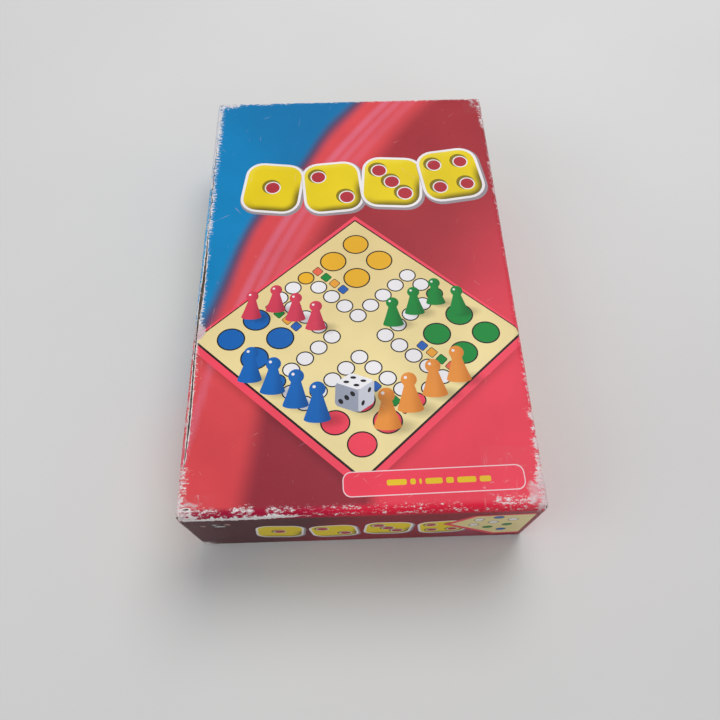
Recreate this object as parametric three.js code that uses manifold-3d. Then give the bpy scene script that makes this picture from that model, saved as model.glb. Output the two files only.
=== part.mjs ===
// A worn game box for a folding board game: a wrapped lid over a wrapped base,
// with a folded card insert, the folding board, the rules leaflet, sixteen pawns and a die inside.
// Units are millimetres. +Z is up, -Y is the front short wall, X runs left to right.
// The origin is on the table under the middle of the box.
import * as THREE from "three";
import { mergeVertices } from "three/addons/utils/BufferGeometryUtils.js";
import Module from "manifold-3d";

const wasm = await Module();
wasm.setup();

// Box outside, over the wrap
const lidWidth = 175;
const lidLength = 276;
const boxHeight = 60;
const lidTableGap = 1.2; // from the table to the lid's rim

// Set-up box walls: greyboard, corner stays of gummed tape, a paper wrap turned over the rim
const boardThickness = 1.6;
const wrapThickness = 0.2;
const stayThickness = 0.15;
const glueLine = 0.05;
const turnIn = 14;
const stayLeg = 18;
const stayEndMargin = 5;
const lidEdgeRadius = 3; // the worn fold between the top panel and the walls
const lidCornerRadius = 2.4;
const baseEdgeRadius = 2;
const baseCornerRadius = 2.4;
const lidFit = 0.7; // on each side, between the base and the lid's turned-in paper
const lidRestGap = 0.2;

// The split along the left top fold
const splitWidth = 0.9;
const splitLength = 148;
const splitFrontEnd = 23; // from the front wall to the split's front end
const splitLean = 25; // degrees from upright, so it opens near the top panel's edge
const splitSkew = 0.5; // how far the split wanders across the fold
const splitTaperShare = 0.4; // how bluntly the split closes at its ends
const splitSteps = 12;

// Clear tape over the torn corners and the left fold
const tapeThickness = 0.15;
const tapeFrontLeftTop = { across: 15, along: 13 };
const tapeFrontLeftWall = 40;
const tapeFrontRightTop = { across: 24, along: 34 };
const tapeFrontRightWall = 38;
const tapeBackRightTop = { across: 12, along: 18 };
const tapeBackRightWall = 46;
const tapeEdgeAcross = 6;
const tapeEdgeLength = 56;
const tapeEdgeFrontEnd = 40;
const tapeEdgeWall = 22;

// Card insert: one sheet folded into a well and a platform
const cardThickness = 1;
const cardFoldRadius = 1.6; // inside each fold
const insertFit = 0.5;
const insertSeatGap = 0.05;
const wellWidth = 28.4; // clear, between its two walls
const headroom = 9.85; // over the folded board, under the lid
const insertFootGap = 0.1;

// Folding board: two leaves joined by a cloth strip along the spine
const playSide = 262; // the open board is square
const leafThickness = 1.9;
const leafCornerRadius = 3;
const printThickness = 0.2;
const printMargin = 0.4; // the printed sheet stops short of the leaf's edge
const spineRelief = 0.3; // from the hinge line to each leaf
const foldGap = 0.3; // between the two printed faces
const hingeClothWidth = 13;
const hingeClothThickness = 0.25;
const boardSeatGap = 0.1;
const boardWellMargin = 1.2; // from the well's edge to the spine

// Rules leaflet: one sheet folded once, under the board
const leafletWidth = 105;
const leafletLength = 148;
const paperThickness = 0.3;
const leafletFoldRadius = 0.25; // inside the fold
const leafletSeatGap = 0.1;
const leafletWellMargin = 12;

// Pawns and die
const pawnHeight = 25;
const pawnBaseDiameter = 12.2;
const pawnFootHeight = 2.2;
const pawnFootInset = 0.5;
const pawnWaistDiameter = 4.8;
const pawnCollarDiameter = 6.2;
const pawnCollarHeight = 0.9;
const pawnHeadDiameter = 7.4;
const pawnHollowDiameter = 7; // the moulded hollow under the foot
const pawnHollowDepth = 4;
const pawnRowGap = 1.2; // between the two rows
const pawnPitch = 14.2;
const pawnSeatGap = 0.05;
const pawnBackMargin = 12; // from the insert's back end to the first pawn's axis
const pawnColours = ["yellow", "blue", "green", "red"];
const pawnsPerColour = 4;
const dieSide = 16;
const dieEdgeRadius = 1.8;
const pipDiameter = 2.8;
const pipDepth = 0.6;
const pipSpacing = 4.2;
const dieGap = 18; // from the last pawn's axis to the die's centre
const dieTurn = 0.32; // radians about the vertical

// How finely curves are cut into flats
const foldSteps = 5;
const cornerSteps = 3;
const latheSteps = 14;
const headSteps = 4;
const overrun = 8; // how far a cutting shape runs past what it cuts

// Sizes that follow
const underlay = stayThickness + 2 * glueLine;
const wallThickness = wrapThickness + underlay + boardThickness;
const bandThickness = glueLine + wrapThickness;
const lidDepth = boxHeight - lidTableGap;
const baseWidth = lidWidth - 2 * (wallThickness + bandThickness + lidFit);
const baseLength = lidLength - 2 * (wallThickness + bandThickness + lidFit);
const baseDepth = boxHeight - wallThickness - lidRestGap;
const insertWidth = baseWidth - 2 * (wallThickness + bandThickness + insertFit);
const insertLength = baseLength - 2 * (wallThickness + bandThickness + insertFit);
const insertBottom = boardThickness + insertSeatGap;
const insertLeft = -insertWidth / 2;
const wellFloorTop = insertBottom + cardThickness;
const wellLeft = insertLeft + cardThickness;
const wellRight = wellLeft + wellWidth;
const leafWidth = playSide / 2;
const leafletHeight = 2 * (paperThickness + leafletFoldRadius);
const leafStack = hingeClothThickness + leafThickness + printThickness + 2 * glueLine;
const foldedBoardHeight = 2 * leafStack + foldGap;
const boardBottom = boxHeight - wallThickness - headroom - foldedBoardHeight;
const leafBottom = boardBottom + hingeClothThickness + glueLine;
const printBottom = leafBottom + leafThickness + glueLine;
const foldHeight = boardBottom + foldedBoardHeight / 2;
const leafletBottom = boardBottom - boardSeatGap - leafletHeight;
const platformTop = leafletBottom - leafletSeatGap;
const spineX = wellRight + cardThickness + boardWellMargin;

// Solids: a closed three.js geometry as a manifold, and back

function solid(geometry) {
  const bare = (geometry.index ? geometry.toNonIndexed() : geometry).clone();
  bare.deleteAttribute("normal");
  bare.deleteAttribute("uv");
  const merged = mergeVertices(bare);
  return new wasm.Manifold(
    new wasm.Mesh({
      numProp: 3,
      vertProperties: merged.attributes.position.array,
      triVerts: new Uint32Array(merged.index.array),
    }),
  );
}

function geometryOf(manifold) {
  const made = manifold.getMesh();
  const geometry = new THREE.BufferGeometry();
  geometry.setAttribute("position", new THREE.BufferAttribute(made.vertProperties, 3));
  geometry.setIndex(new THREE.BufferAttribute(made.triVerts, 1));
  return geometry;
}

// A box given by its lowest and highest corner.
function block([x0, y0, z0], [x1, y1, z1]) {
  const box = new THREE.BoxGeometry(x1 - x0, y1 - y0, z1 - z0);
  box.translate((x0 + x1) / 2, (y0 + y1) / 2, (z0 + z1) / 2);
  return solid(box);
}

// An outline from a list of points.
const outline = (points) => new THREE.Shape(points.map(([a, b]) => new THREE.Vector2(a, b)));

// A rectangle centred on the origin with its corners rounded.
function roundedRectangle(width, height, radius) {
  const [x, y] = [width / 2, height / 2];
  const shape = new THREE.Shape();
  shape.moveTo(-x + radius, -y);
  shape.lineTo(x - radius, -y);
  shape.absarc(x - radius, -y + radius, radius, -Math.PI / 2, 0, false);
  shape.lineTo(x, y - radius);
  shape.absarc(x - radius, y - radius, radius, 0, Math.PI / 2, false);
  shape.lineTo(-x + radius, y);
  shape.absarc(-x + radius, y - radius, radius, Math.PI / 2, Math.PI, false);
  shape.lineTo(-x, -y + radius);
  shape.absarc(-x + radius, -y + radius, radius, Math.PI, 1.5 * Math.PI, false);
  return shape;
}

// A shape drawn in X and Z, drawn out along Y and centred on it.
function alongY(shape, length, curveSegments) {
  const geometry = new THREE.ExtrudeGeometry(shape, { depth: length, bevelEnabled: false, curveSegments });
  geometry.rotateX(Math.PI / 2);
  geometry.translate(0, length / 2, 0);
  return solid(geometry);
}

// The same, with the drawing's first axis laid on Y and the shape drawn out along X.
function alongX(shape, length, curveSegments) {
  const geometry = new THREE.ExtrudeGeometry(shape, { depth: length, bevelEnabled: false, curveSegments });
  geometry.rotateX(Math.PI / 2);
  geometry.rotateZ(Math.PI / 2);
  geometry.translate(-length / 2, 0, 0);
  return solid(geometry);
}

function alongZ(shape, length, curveSegments) {
  const geometry = new THREE.ExtrudeGeometry(shape, { depth: length, bevelEnabled: false, curveSegments });
  return solid(geometry);
}

// The outside of a tray, standing on its floor at z = 0: the corners are round in plan,
// and the folds between the floor and the walls are round in both elevations.
// inset moves every face inwards, and a negative one outwards.
function trayForm(tray, inset, top) {
  const [width, length] = [tray.width - 2 * inset, tray.length - 2 * inset];
  const tall = tray.depth + 2 * overrun;
  const plan = alongZ(
    roundedRectangle(width, length, tray.cornerRadius - inset),
    tall,
    cornerSteps,
  ).translate([0, 0, inset]);
  const lift = inset + tall / 2;
  const across = alongY(roundedRectangle(width, tall, tray.edgeRadius - inset), 2 * tray.length, foldSteps);
  const lengthways = alongX(roundedRectangle(length, tall, tray.edgeRadius - inset), 2 * tray.length, foldSteps);
  const form = plan.intersect(across.translate([0, 0, lift])).intersect(lengthways.translate([0, 0, lift]));
  return form.intersect(
    block([-tray.width, -tray.length, inset], [tray.width, tray.length, top]),
  );
}

// A straight-sided space open at the top of a tray, from the height given.
function trayWell(tray, inset, bottom) {
  const [x, y] = [tray.width / 2 - inset, tray.length / 2 - inset];
  return block([-x, -y, bottom], [x, y, tray.depth + overrun]);
}

// Greyboard: floor and four walls in one scored and folded blank.
function trayBoard(tray) {
  const skin = wrapThickness + underlay;
  const form = trayForm(tray, skin, tray.depth - wrapThickness - glueLine);
  return form.subtract(trayWell(tray, wallThickness, wallThickness));
}

// Paper wrap: the outer skin, the fold over the rim and the band turned inside.
function trayWrap(tray) {
  const outer = trayForm(tray, 0, tray.depth);
  const boardSpace = trayForm(tray, wrapThickness, tray.depth - wrapThickness);
  const mouth = trayWell(tray, wallThickness + bandThickness, wallThickness);
  const band = trayWell(tray, wallThickness + glueLine, tray.depth - turnIn)
    .subtract(mouth)
    .intersect(outer);
  return outer.subtract(boardSpace).subtract(mouth).add(band);
}

// Corner stay: gummed tape bent round one upright corner, between the board and the wrap.
function cornerStay(tray, sideX, sideY) {
  const outside = wrapThickness + glueLine;
  const top = tray.depth - stayEndMargin;
  const sleeve = trayForm(tray, outside, top).subtract(trayForm(tray, outside + stayThickness, top + overrun));
  const [x, y] = [(sideX * tray.width) / 2, (sideY * tray.length) / 2];
  const [x0, x1] = [x, x - sideX * stayLeg].sort((a, b) => a - b);
  const [y0, y1] = [y, y - sideY * stayLeg].sort((a, b) => a - b);
  return sleeve.intersect(block([x0, y0, tray.edgeRadius + stayEndMargin], [x1, y1, top]));
}

// The lid is a tray turned over, with its floor as the top panel.
const lidTray = {
  width: lidWidth,
  length: lidLength,
  depth: lidDepth,
  edgeRadius: lidEdgeRadius,
  cornerRadius: lidCornerRadius,
};
const turnedOver = (manifold) => manifold.rotate([180, 0, 0]).translate([0, 0, boxHeight]);

// The base stands on its board: its wrap covers the walls and stops at the table.
const baseTray = {
  width: baseWidth,
  length: baseLength,
  depth: baseDepth + wrapThickness + underlay,
  edgeRadius: baseEdgeRadius,
  cornerRadius: baseCornerRadius,
};
const setDown = (manifold) => manifold.translate([0, 0, -wrapThickness - underlay]);

// The split runs along the left top fold and wanders a little across it.
// It is drawn flat, leaned to face out of the fold, and reaches in as far as the inner corner.
function foldSplit() {
  const drift = (share) => splitSkew * Math.sin(share * 3 * Math.PI);
  const width = (share) => splitWidth * Math.sin(share * Math.PI) ** splitTaperShare;
  const stations = Array.from({ length: splitSteps - 1 }, (_, i) => (i + 1) / splitSteps);
  const side = (sign) => (share) => [drift(share) + (sign * width(share)) / 2, share * splitLength];
  const rim = [[0, 0], ...stations.map(side(1)), [0, splitLength], ...stations.reverse().map(side(-1))];
  const lean = THREE.MathUtils.degToRad(splitLean);
  const depth = wallThickness / Math.cos(lean) + splitWidth;
  const [inset, drop] = [lidEdgeRadius * (1 - Math.sin(lean)), lidEdgeRadius * (1 - Math.cos(lean))];
  return alongZ(outline(rim), depth + overrun, cornerSteps)
    .translate([0, 0, -depth])
    .rotate([0, -splitLean, 0])
    .translate([inset - lidWidth / 2, splitFrontEnd - lidLength / 2, boxHeight - drop]);
}

// Tape is a skin just outside the lid's wrap, kept where a patch covers the top and the walls.
function tapeSkin() {
  const outside = trayForm(lidTray, -glueLine - tapeThickness, lidDepth - stayEndMargin);
  return turnedOver(outside.subtract(trayForm(lidTray, -glueLine, lidDepth)));
}

function cornerTape(sideX, sideY, onTop, onWall) {
  const [outX, outY] = [sideX * (lidWidth / 2 + overrun), sideY * (lidLength / 2 + overrun)];
  const [inX, inY] = [sideX * (lidWidth / 2 - onTop.across), sideY * (lidLength / 2 - onTop.along)];
  const patch = block(
    [Math.min(outX, inX), Math.min(outY, inY), boxHeight - onWall],
    [Math.max(outX, inX), Math.max(outY, inY), boxHeight + overrun],
  );
  return tapeSkin().intersect(patch);
}

function leftEdgeTape() {
  const front = -lidLength / 2 + tapeEdgeFrontEnd;
  const patch = block(
    [-lidWidth / 2 - overrun, front, boxHeight - tapeEdgeWall],
    [-lidWidth / 2 + tapeEdgeAcross, front + tapeEdgeLength, boxHeight + overrun],
  );
  return tapeSkin().intersect(patch);
}

// Sheet section: a strip of even thickness that follows a path of right-angled folds.
// Each corner is rounded, inside by the fold radius and outside by that and the thickness.
function foldedStrip(path, thickness, insideRadius) {
  const middle = insideRadius + thickness / 2;
  const left = [];
  const right = [];
  const place = (list, point, normal, side) =>
    list.push([point[0] + (normal[0] * side * thickness) / 2, point[1] + (normal[1] * side * thickness) / 2]);
  const directions = path.slice(1).map((p, i) => {
    const [dx, dz] = [p[0] - path[i][0], p[1] - path[i][1]];
    const run = Math.hypot(dx, dz);
    return [dx / run, dz / run];
  });
  const normalOf = ([dx, dz]) => [-dz, dx];
  place(left, path[0], normalOf(directions[0]), 1);
  place(right, path[0], normalOf(directions[0]), -1);
  for (let i = 1; i < path.length - 1; i++) {
    const [before, after] = [directions[i - 1], directions[i]];
    const turn = Math.sign(before[0] * after[1] - before[1] * after[0]);
    const start = [path[i][0] - before[0] * middle, path[i][1] - before[1] * middle];
    const inward = normalOf(before).map((n) => n * turn);
    const centre = [start[0] + inward[0] * middle, start[1] + inward[1] * middle];
    for (let k = 0; k <= foldSteps; k++) {
      const angle = (k / foldSteps) * (Math.PI / 2);
      const out = [0, 1].map((a) => -inward[a] * Math.cos(angle) + before[a] * Math.sin(angle));
      const point = [centre[0] + out[0] * middle, centre[1] + out[1] * middle];
      place(left, point, out, -turn);
      place(right, point, out, turn);
    }
  }
  const last = path[path.length - 1];
  place(left, last, normalOf(directions.at(-1)), 1);
  place(right, last, normalOf(directions.at(-1)), -1);
  return outline([...right, ...left.reverse()]);
}

// Insert: up the well's outer wall, across its floor, up to the platform and down a leg.
function cardInsert() {
  const half = cardThickness / 2;
  const right = insertWidth / 2 - half;
  const path = [
    [insertLeft + half, platformTop],
    [insertLeft + half, insertBottom + half],
    [wellRight + half, insertBottom + half],
    [wellRight + half, platformTop - half],
    [right, platformTop - half],
    [right, boardThickness + insertFootGap],
  ];
  return alongY(foldedStrip(path, cardThickness, cardFoldRadius), insertLength, 1);
}

// Leaflet: two pages lying on each other, joined by the fold on the left.
function rulesLeaflet() {
  const left = spineX + leafletWellMargin;
  const [low, high] = [
    leafletBottom + paperThickness / 2,
    leafletBottom + leafletHeight - paperThickness / 2,
  ];
  const foldX = left + paperThickness / 2;
  const path = [
    [left + leafletWidth, low],
    [foldX, low],
    [foldX, high],
    [left + leafletWidth, high],
  ];
  return alongY(foldedStrip(path, paperThickness, leafletFoldRadius), leafletLength, 1);
}

// One sheet of a leaf, from the hinge line to the right, with its two far corners rounded.
function leafSheet(margin, bottom, thickness) {
  const [x0, x1] = [spineX + spineRelief, spineX + leafWidth - margin];
  const y = playSide / 2 - margin;
  const radius = leafCornerRadius - margin;
  const shape = new THREE.Shape();
  shape.moveTo(x0, -y);
  shape.lineTo(x1 - radius, -y);
  shape.absarc(x1 - radius, -y + radius, radius, -Math.PI / 2, 0, false);
  shape.lineTo(x1, y - radius);
  shape.absarc(x1 - radius, y - radius, radius, 0, Math.PI / 2, false);
  shape.lineTo(x0, y);
  return alongZ(shape, thickness, foldSteps).translate([0, 0, bottom]);
}

function hingeCloth() {
  const y = playSide / 2 - printMargin;
  return block(
    [spineX + spineRelief, -y, boardBottom],
    [spineX + hingeClothWidth, y, boardBottom + hingeClothThickness],
  );
}

// The folded board's upper half is the lower half mirrored in the fold's height.
function mirroredInFold(manifold) {
  return manifold.translate([0, 0, -foldHeight]).mirror([0, 0, 1]).translate([0, 0, foldHeight]);
}

// Pawn: a hollow-footed skirt that sweeps in to a waist, a collar and a ball head.
function pawnGeometry() {
  const [base, waist, collar, head] = [
    pawnBaseDiameter,
    pawnWaistDiameter,
    pawnCollarDiameter,
    pawnHeadDiameter,
  ].map((diameter) => diameter / 2);
  const hollow = pawnHollowDiameter / 2;
  const headCentre = pawnHeight - head;
  const neck = Math.sqrt(head ** 2 - waist ** 2);
  const collarBottom = headCentre - neck - pawnCollarHeight;
  const skirt = new THREE.CubicBezierCurve(
    new THREE.Vector2(base - pawnFootInset, pawnFootHeight),
    new THREE.Vector2(base - 2 * pawnFootInset, (pawnFootHeight + collarBottom) / 2),
    new THREE.Vector2(waist, (pawnFootHeight + collarBottom) / 2),
    new THREE.Vector2(waist, collarBottom),
  ).getPoints(foldSteps);
  const ball = Array.from({ length: headSteps }, (_, i) => {
    const low = -Math.acos(waist / head);
    const angle = low + ((i + 1) / headSteps) * (Math.PI / 2 - low);
    return new THREE.Vector2(i + 1 === headSteps ? 0 : head * Math.cos(angle), headCentre + head * Math.sin(angle));
  });
  const profile = [
    new THREE.Vector2(0, pawnHollowDepth),
    new THREE.Vector2(hollow - pawnFootInset, pawnHollowDepth),
    new THREE.Vector2(hollow, 0),
    new THREE.Vector2(base - pawnFootInset, 0),
    new THREE.Vector2(base, pawnFootInset),
    new THREE.Vector2(base, pawnFootHeight - pawnFootInset),
    ...skirt,
    new THREE.Vector2(collar, collarBottom),
    new THREE.Vector2(collar, collarBottom + pawnCollarHeight),
    new THREE.Vector2(waist, headCentre - neck),
    ...ball,
  ];
  const geometry = new THREE.LatheGeometry(profile, latheSteps);
  geometry.rotateX(Math.PI / 2);
  return geometryOf(solid(geometry));
}

// Where the pips of a face sit, in steps of the pip spacing.
const pipLayouts = {
  1: [[0, 0]],
  2: [[-1, -1], [1, 1]],
  3: [[-1, -1], [0, 0], [1, 1]],
  4: [[-1, -1], [-1, 1], [1, -1], [1, 1]],
  5: [[-1, -1], [-1, 1], [0, 0], [1, -1], [1, 1]],
  6: [[-1, -1], [-1, 0], [-1, 1], [1, -1], [1, 0], [1, 1]],
};

// Die: a cube with rounded edges and a shallow round recess for each pip.
// Opposite faces add up to seven.
function dieGeometry() {
  const rounded = (turn) => {
    const shape = roundedRectangle(dieSide, dieSide, dieEdgeRadius);
    return turn(shape, dieSide, cornerSteps);
  };
  const upright = rounded(alongZ).translate([0, 0, -dieSide / 2]);
  let cube = upright.intersect(rounded(alongX)).intersect(rounded(alongY));
  const ball = (pipDiameter ** 2 / 4 + pipDepth ** 2) / (2 * pipDepth);
  const recess = solid(new THREE.SphereGeometry(ball, 3 * cornerSteps, 3 * cornerSteps));
  const faces = [
    [1, [0, 0, 0]],
    [2, [90, 0, 0]],
    [3, [0, 90, 0]],
    [4, [0, -90, 0]],
    [5, [-90, 0, 0]],
    [6, [180, 0, 0]],
  ];
  for (const [count, turn] of faces)
    for (const [u, v] of pipLayouts[count]) {
      const centre = [u * pipSpacing, v * pipSpacing, dieSide / 2 + ball - pipDepth];
      cube = cube.subtract(recess.translate(centre).rotate(turn));
    }
  return geometryOf(cube);
}

// Materials, one function for each finish
const finish = (colour, roughness) =>
  new THREE.MeshStandardMaterial({ color: colour, roughness, metalness: 0 });
const greyboard = () => finish("#8d8173", 0.95);
const printedWrap = () => finish("#cc3b45", 0.38);
const plainWrap = () => finish("#b3343c", 0.5);
const kraftTape = () => finish("#b48a55", 0.8);
const clearTape = () => finish("#e3c9cc", 0.12);
const whiteCard = () => finish("#e4e1d8", 0.8);
const bookCloth = () => finish("#23262b", 0.85);
const leafPrint = () => finish("#e9d99b", 0.4);
const leafletPaper = () => finish("#f0eee6", 0.75);
const dieAcrylic = () => finish("#e9e7e2", 0.3);
const pawnPlastic = (name) => {
  const colours = { yellow: "#ee9641", blue: "#0f69b9", green: "#0f8c3c", red: "#d74155" };
  return finish(colours[name], 0.3);
};

function piece(name, geometry, material) {
  const mesh = new THREE.Mesh(geometry, material);
  mesh.name = name;
  return mesh;
}

const corners = [
  ["front_left", -1, -1],
  ["front_right", 1, -1],
  ["back_left", -1, 1],
  ["back_right", 1, 1],
];

function buildLid() {
  const group = new THREE.Group();
  const split = foldSplit();
  // Turning the tray over swaps its front and back.
  group.add(piece("lid_board", geometryOf(turnedOver(trayBoard(lidTray)).subtract(split)), greyboard()));
  group.add(piece("lid_wrap", geometryOf(turnedOver(trayWrap(lidTray)).subtract(split)), printedWrap()));
  for (const [place, x, y] of corners)
    group.add(piece(`lid_corner_stay_${place}`, geometryOf(turnedOver(cornerStay(lidTray, x, -y))), kraftTape()));
  const tapes = {
    tape_front_left_corner: cornerTape(-1, -1, tapeFrontLeftTop, tapeFrontLeftWall),
    tape_front_right_corner: cornerTape(1, -1, tapeFrontRightTop, tapeFrontRightWall),
    tape_back_right_corner: cornerTape(1, 1, tapeBackRightTop, tapeBackRightWall),
    tape_left_edge: leftEdgeTape(),
  };
  for (const [name, made] of Object.entries(tapes)) group.add(piece(name, geometryOf(made), clearTape()));
  return group;
}

function buildBase() {
  const group = new THREE.Group();
  const table = block([-lidWidth, -lidLength, -overrun], [lidWidth, lidLength, 0]);
  group.add(piece("base_board", geometryOf(setDown(trayBoard(baseTray))), greyboard()));
  group.add(piece("base_wrap", geometryOf(setDown(trayWrap(baseTray)).subtract(table)), plainWrap()));
  for (const [place, x, y] of corners)
    group.add(piece(`base_corner_stay_${place}`, geometryOf(setDown(cornerStay(baseTray, x, y))), kraftTape()));
  group.add(piece("card_insert", geometryOf(cardInsert()), whiteCard()));
  return group;
}

function buildBoard() {
  const group = new THREE.Group();
  const leaf = leafSheet(0, leafBottom, leafThickness);
  const print = leafSheet(printMargin, printBottom, printThickness);
  const cloth = hingeCloth();
  group.add(piece("board_leaf_lower", geometryOf(leaf), greyboard()));
  group.add(piece("board_print_lower", geometryOf(print), leafPrint()));
  group.add(piece("hinge_cloth_lower", geometryOf(cloth), bookCloth()));
  group.add(piece("board_leaf_upper", geometryOf(mirroredInFold(leaf)), greyboard()));
  group.add(piece("board_print_upper", geometryOf(mirroredInFold(print)), leafPrint()));
  group.add(piece("hinge_cloth_upper", geometryOf(mirroredInFold(cloth)), bookCloth()));
  return group;
}

// The pawns stand in two rows along the well, colour by colour from the back, and the die follows.
function buildPlayingPieces() {
  const group = new THREE.Group();
  const geometry = pawnGeometry();
  const wellMiddle = (wellLeft + wellRight) / 2;
  const rowOffset = (pawnBaseDiameter + pawnRowGap) / 2;
  const firstY = insertLength / 2 - pawnBackMargin;
  const rowsPerColour = pawnsPerColour / 2;
  pawnColours.forEach((colour, set) => {
    for (let n = 0; n < pawnsPerColour; n++) {
      const row = set * rowsPerColour + Math.floor(n / 2);
      const pawn = piece(`pawn_${colour}_${n + 1}`, geometry, pawnPlastic(colour));
      const side = n % 2 ? 1 : -1;
      pawn.position.set(wellMiddle + side * rowOffset, firstY - row * pawnPitch, wellFloorTop + pawnSeatGap);
      group.add(pawn);
    }
  });
  const rows = pawnColours.length * rowsPerColour;
  const die = piece("die", dieGeometry(), dieAcrylic());
  const lastY = firstY - (rows - 1) * pawnPitch;
  die.position.set(wellMiddle, lastY - dieGap, wellFloorTop + pawnSeatGap + dieSide / 2);
  die.rotation.z = dieTurn;
  group.add(die);
  return group;
}

const gameBox = new THREE.Group();
gameBox.add(buildLid());
gameBox.add(buildBase());
gameBox.add(buildBoard());
gameBox.add(piece("rules_leaflet", geometryOf(rulesLeaflet()), leafletPaper()));
gameBox.add(buildPlayingPieces());

export default gameBox;
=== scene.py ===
"""Dresses a worn game box: printed lid, tape, plain base, folding board, pawns, die and leaflet.

Sizes in the classes are millimetres. Meshes are in metres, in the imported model's own frame.
"""
import logging
import math
from collections.abc import Callable, Sequence
from dataclasses import dataclass, field
from enum import Enum

import bmesh
import bpy
import numpy as np
from mathutils import Matrix, Vector, noise
from mathutils.geometry import delaunay_2d_cdt


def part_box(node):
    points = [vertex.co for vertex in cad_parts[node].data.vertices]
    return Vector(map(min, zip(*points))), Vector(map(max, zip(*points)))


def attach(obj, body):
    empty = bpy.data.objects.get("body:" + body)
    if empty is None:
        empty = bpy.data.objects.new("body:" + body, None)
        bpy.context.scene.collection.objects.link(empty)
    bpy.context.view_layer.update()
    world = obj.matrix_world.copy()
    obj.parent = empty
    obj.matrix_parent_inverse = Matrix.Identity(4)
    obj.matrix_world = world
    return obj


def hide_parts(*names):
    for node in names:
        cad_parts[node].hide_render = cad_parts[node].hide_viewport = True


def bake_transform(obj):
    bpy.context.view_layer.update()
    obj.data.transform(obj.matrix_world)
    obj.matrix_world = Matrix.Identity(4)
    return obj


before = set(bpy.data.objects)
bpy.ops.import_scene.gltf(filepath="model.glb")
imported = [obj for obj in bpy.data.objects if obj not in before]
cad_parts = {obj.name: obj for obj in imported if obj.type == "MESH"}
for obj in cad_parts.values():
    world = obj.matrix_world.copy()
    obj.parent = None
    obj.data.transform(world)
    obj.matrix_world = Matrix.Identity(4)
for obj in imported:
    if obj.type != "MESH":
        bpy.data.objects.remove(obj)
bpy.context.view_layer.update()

log = logging.getLogger("game_box")

Colour = tuple[float, float, float, float]
Point2 = tuple[float, float]
Point3 = tuple[float, float, float]
Array = np.ndarray
Ink = Callable[[Array, Array], Array]
Tree, Node, Socket = bpy.types.NodeTree, bpy.types.Node, bpy.types.NodeSocket
Piece, Mesh = bpy.types.Object, bpy.types.Mesh
MM = 0.001
LINE = "#1c1a1c"


def paint(code: str) -> Colour:
    """Turns an sRGB hex code into a linear colour."""
    parts = [int(code[i : i + 2], 16) / 255 for i in (1, 3, 5)]
    linear = [c / 12.92 if c <= 0.04045 else ((c + 0.055) / 1.055) ** 2.4 for c in parts]
    return (linear[0], linear[1], linear[2], 1.0)


def tones(*codes: str) -> list[Array]:
    """Turns sRGB hex codes into linear colours to reckon with."""
    return [np.array(paint(code)[:3]) for code in codes]


def per(size: float) -> float:
    """Gives a texture scale at which one feature is that many millimetres."""
    return 1 / (size * MM)


def feed(node: Node, inputs: dict | list) -> None:
    """Sets or links a node's inputs, where a node given as a value stands for its first output in use.

    Args:
        node: The node that gets them.
        inputs: Values by input name or number, or a list in the order of the inputs in use.
    """
    if isinstance(inputs, list):
        inputs = dict(zip((i for i, socket in enumerate(node.inputs) if socket.enabled), inputs))
    for key, value in inputs.items():
        if isinstance(value, Node):
            value = next(socket for socket in value.outputs if socket.enabled)
        if isinstance(value, Socket):
            node.id_data.links.new(value, node.inputs[key])
        else:
            node.inputs[key].default_value = value


def add(tree: Tree, kind: str, inputs: dict | list | None = None, **settings: object) -> Node:
    """Adds one node with its settings and its inputs.

    Args:
        tree: The node tree that gets the node.
        kind: The node's type, as Blender names it, where shader nodes go without their prefix.
        inputs: What it is fed.
        **settings: The node's own properties.

    Returns:
        The new node.
    """
    node = tree.nodes.new(kind if "Node" in kind else "ShaderNode" + kind)
    for name, value in settings.items():
        setattr(node, name, value)
    feed(node, inputs or {})
    return node


def geometry_tree(name: str, values: dict[str, float | int]) -> tuple[Tree, Node]:
    """Starts a geometry tree that takes a mesh and some numbers and gives a mesh.

    Args:
        name: The tree's name.
        values: The numbers' defaults by name.

    Returns:
        The tree and its input node.
    """
    tree = bpy.data.node_groups.new(name, "GeometryNodeTree")
    tree.interface.new_socket("Geometry", in_out="INPUT", socket_type="NodeSocketGeometry")
    for label, value in values.items():
        kind = "NodeSocketInt" if isinstance(value, int) else "NodeSocketFloat"
        tree.interface.new_socket(label, in_out="INPUT", socket_type=kind).default_value = value
    tree.interface.new_socket("Geometry", in_out="OUTPUT", socket_type="NodeSocketGeometry")
    return tree, add(tree, "NodeGroupInput")


def apply_tree(piece: Piece, tree: Tree) -> None:
    """Runs a geometry tree on a piece and keeps the plain mesh."""
    piece.modifiers.new(tree.name, "NODES").node_group = tree
    apply_modifiers(piece)


def seen_directly(tree: Tree) -> Node:
    """Adds the nodes that give 1 to what the camera sees, also through film and in reflections."""
    path = add(tree, "LightPath")
    seen = add(tree, "Math", [path.outputs["Is Camera Ray"], path.outputs["Is Transmission Ray"]],
               operation="MAXIMUM")
    return add(tree, "Math", [seen, path.outputs["Is Glossy Ray"]], operation="MAXIMUM")


# Finishes


@dataclass(frozen=True)
class Finish:
    """A surface finish that is built once and shared by the pieces that have it."""

    name: str

    def dress(self, tree: Tree, shader: Node, place: Socket) -> None:
        """Links the finish's own pattern into the shader."""
        raise NotImplementedError

    def material(self) -> bpy.types.Material:
        """Builds the material, or gives the one that is there."""
        found = bpy.data.materials.get(self.name)
        if found:
            return found
        made = bpy.data.materials.new(self.name)
        made.use_nodes = True
        tree = made.node_tree
        tree.nodes.clear()
        place = add(tree, "TexCoord").outputs["Object"]
        shader = add(tree, "BsdfPrincipled")
        add(tree, "OutputMaterial", {"Surface": shader})
        self.dress(tree, shader, place)
        return made


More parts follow.
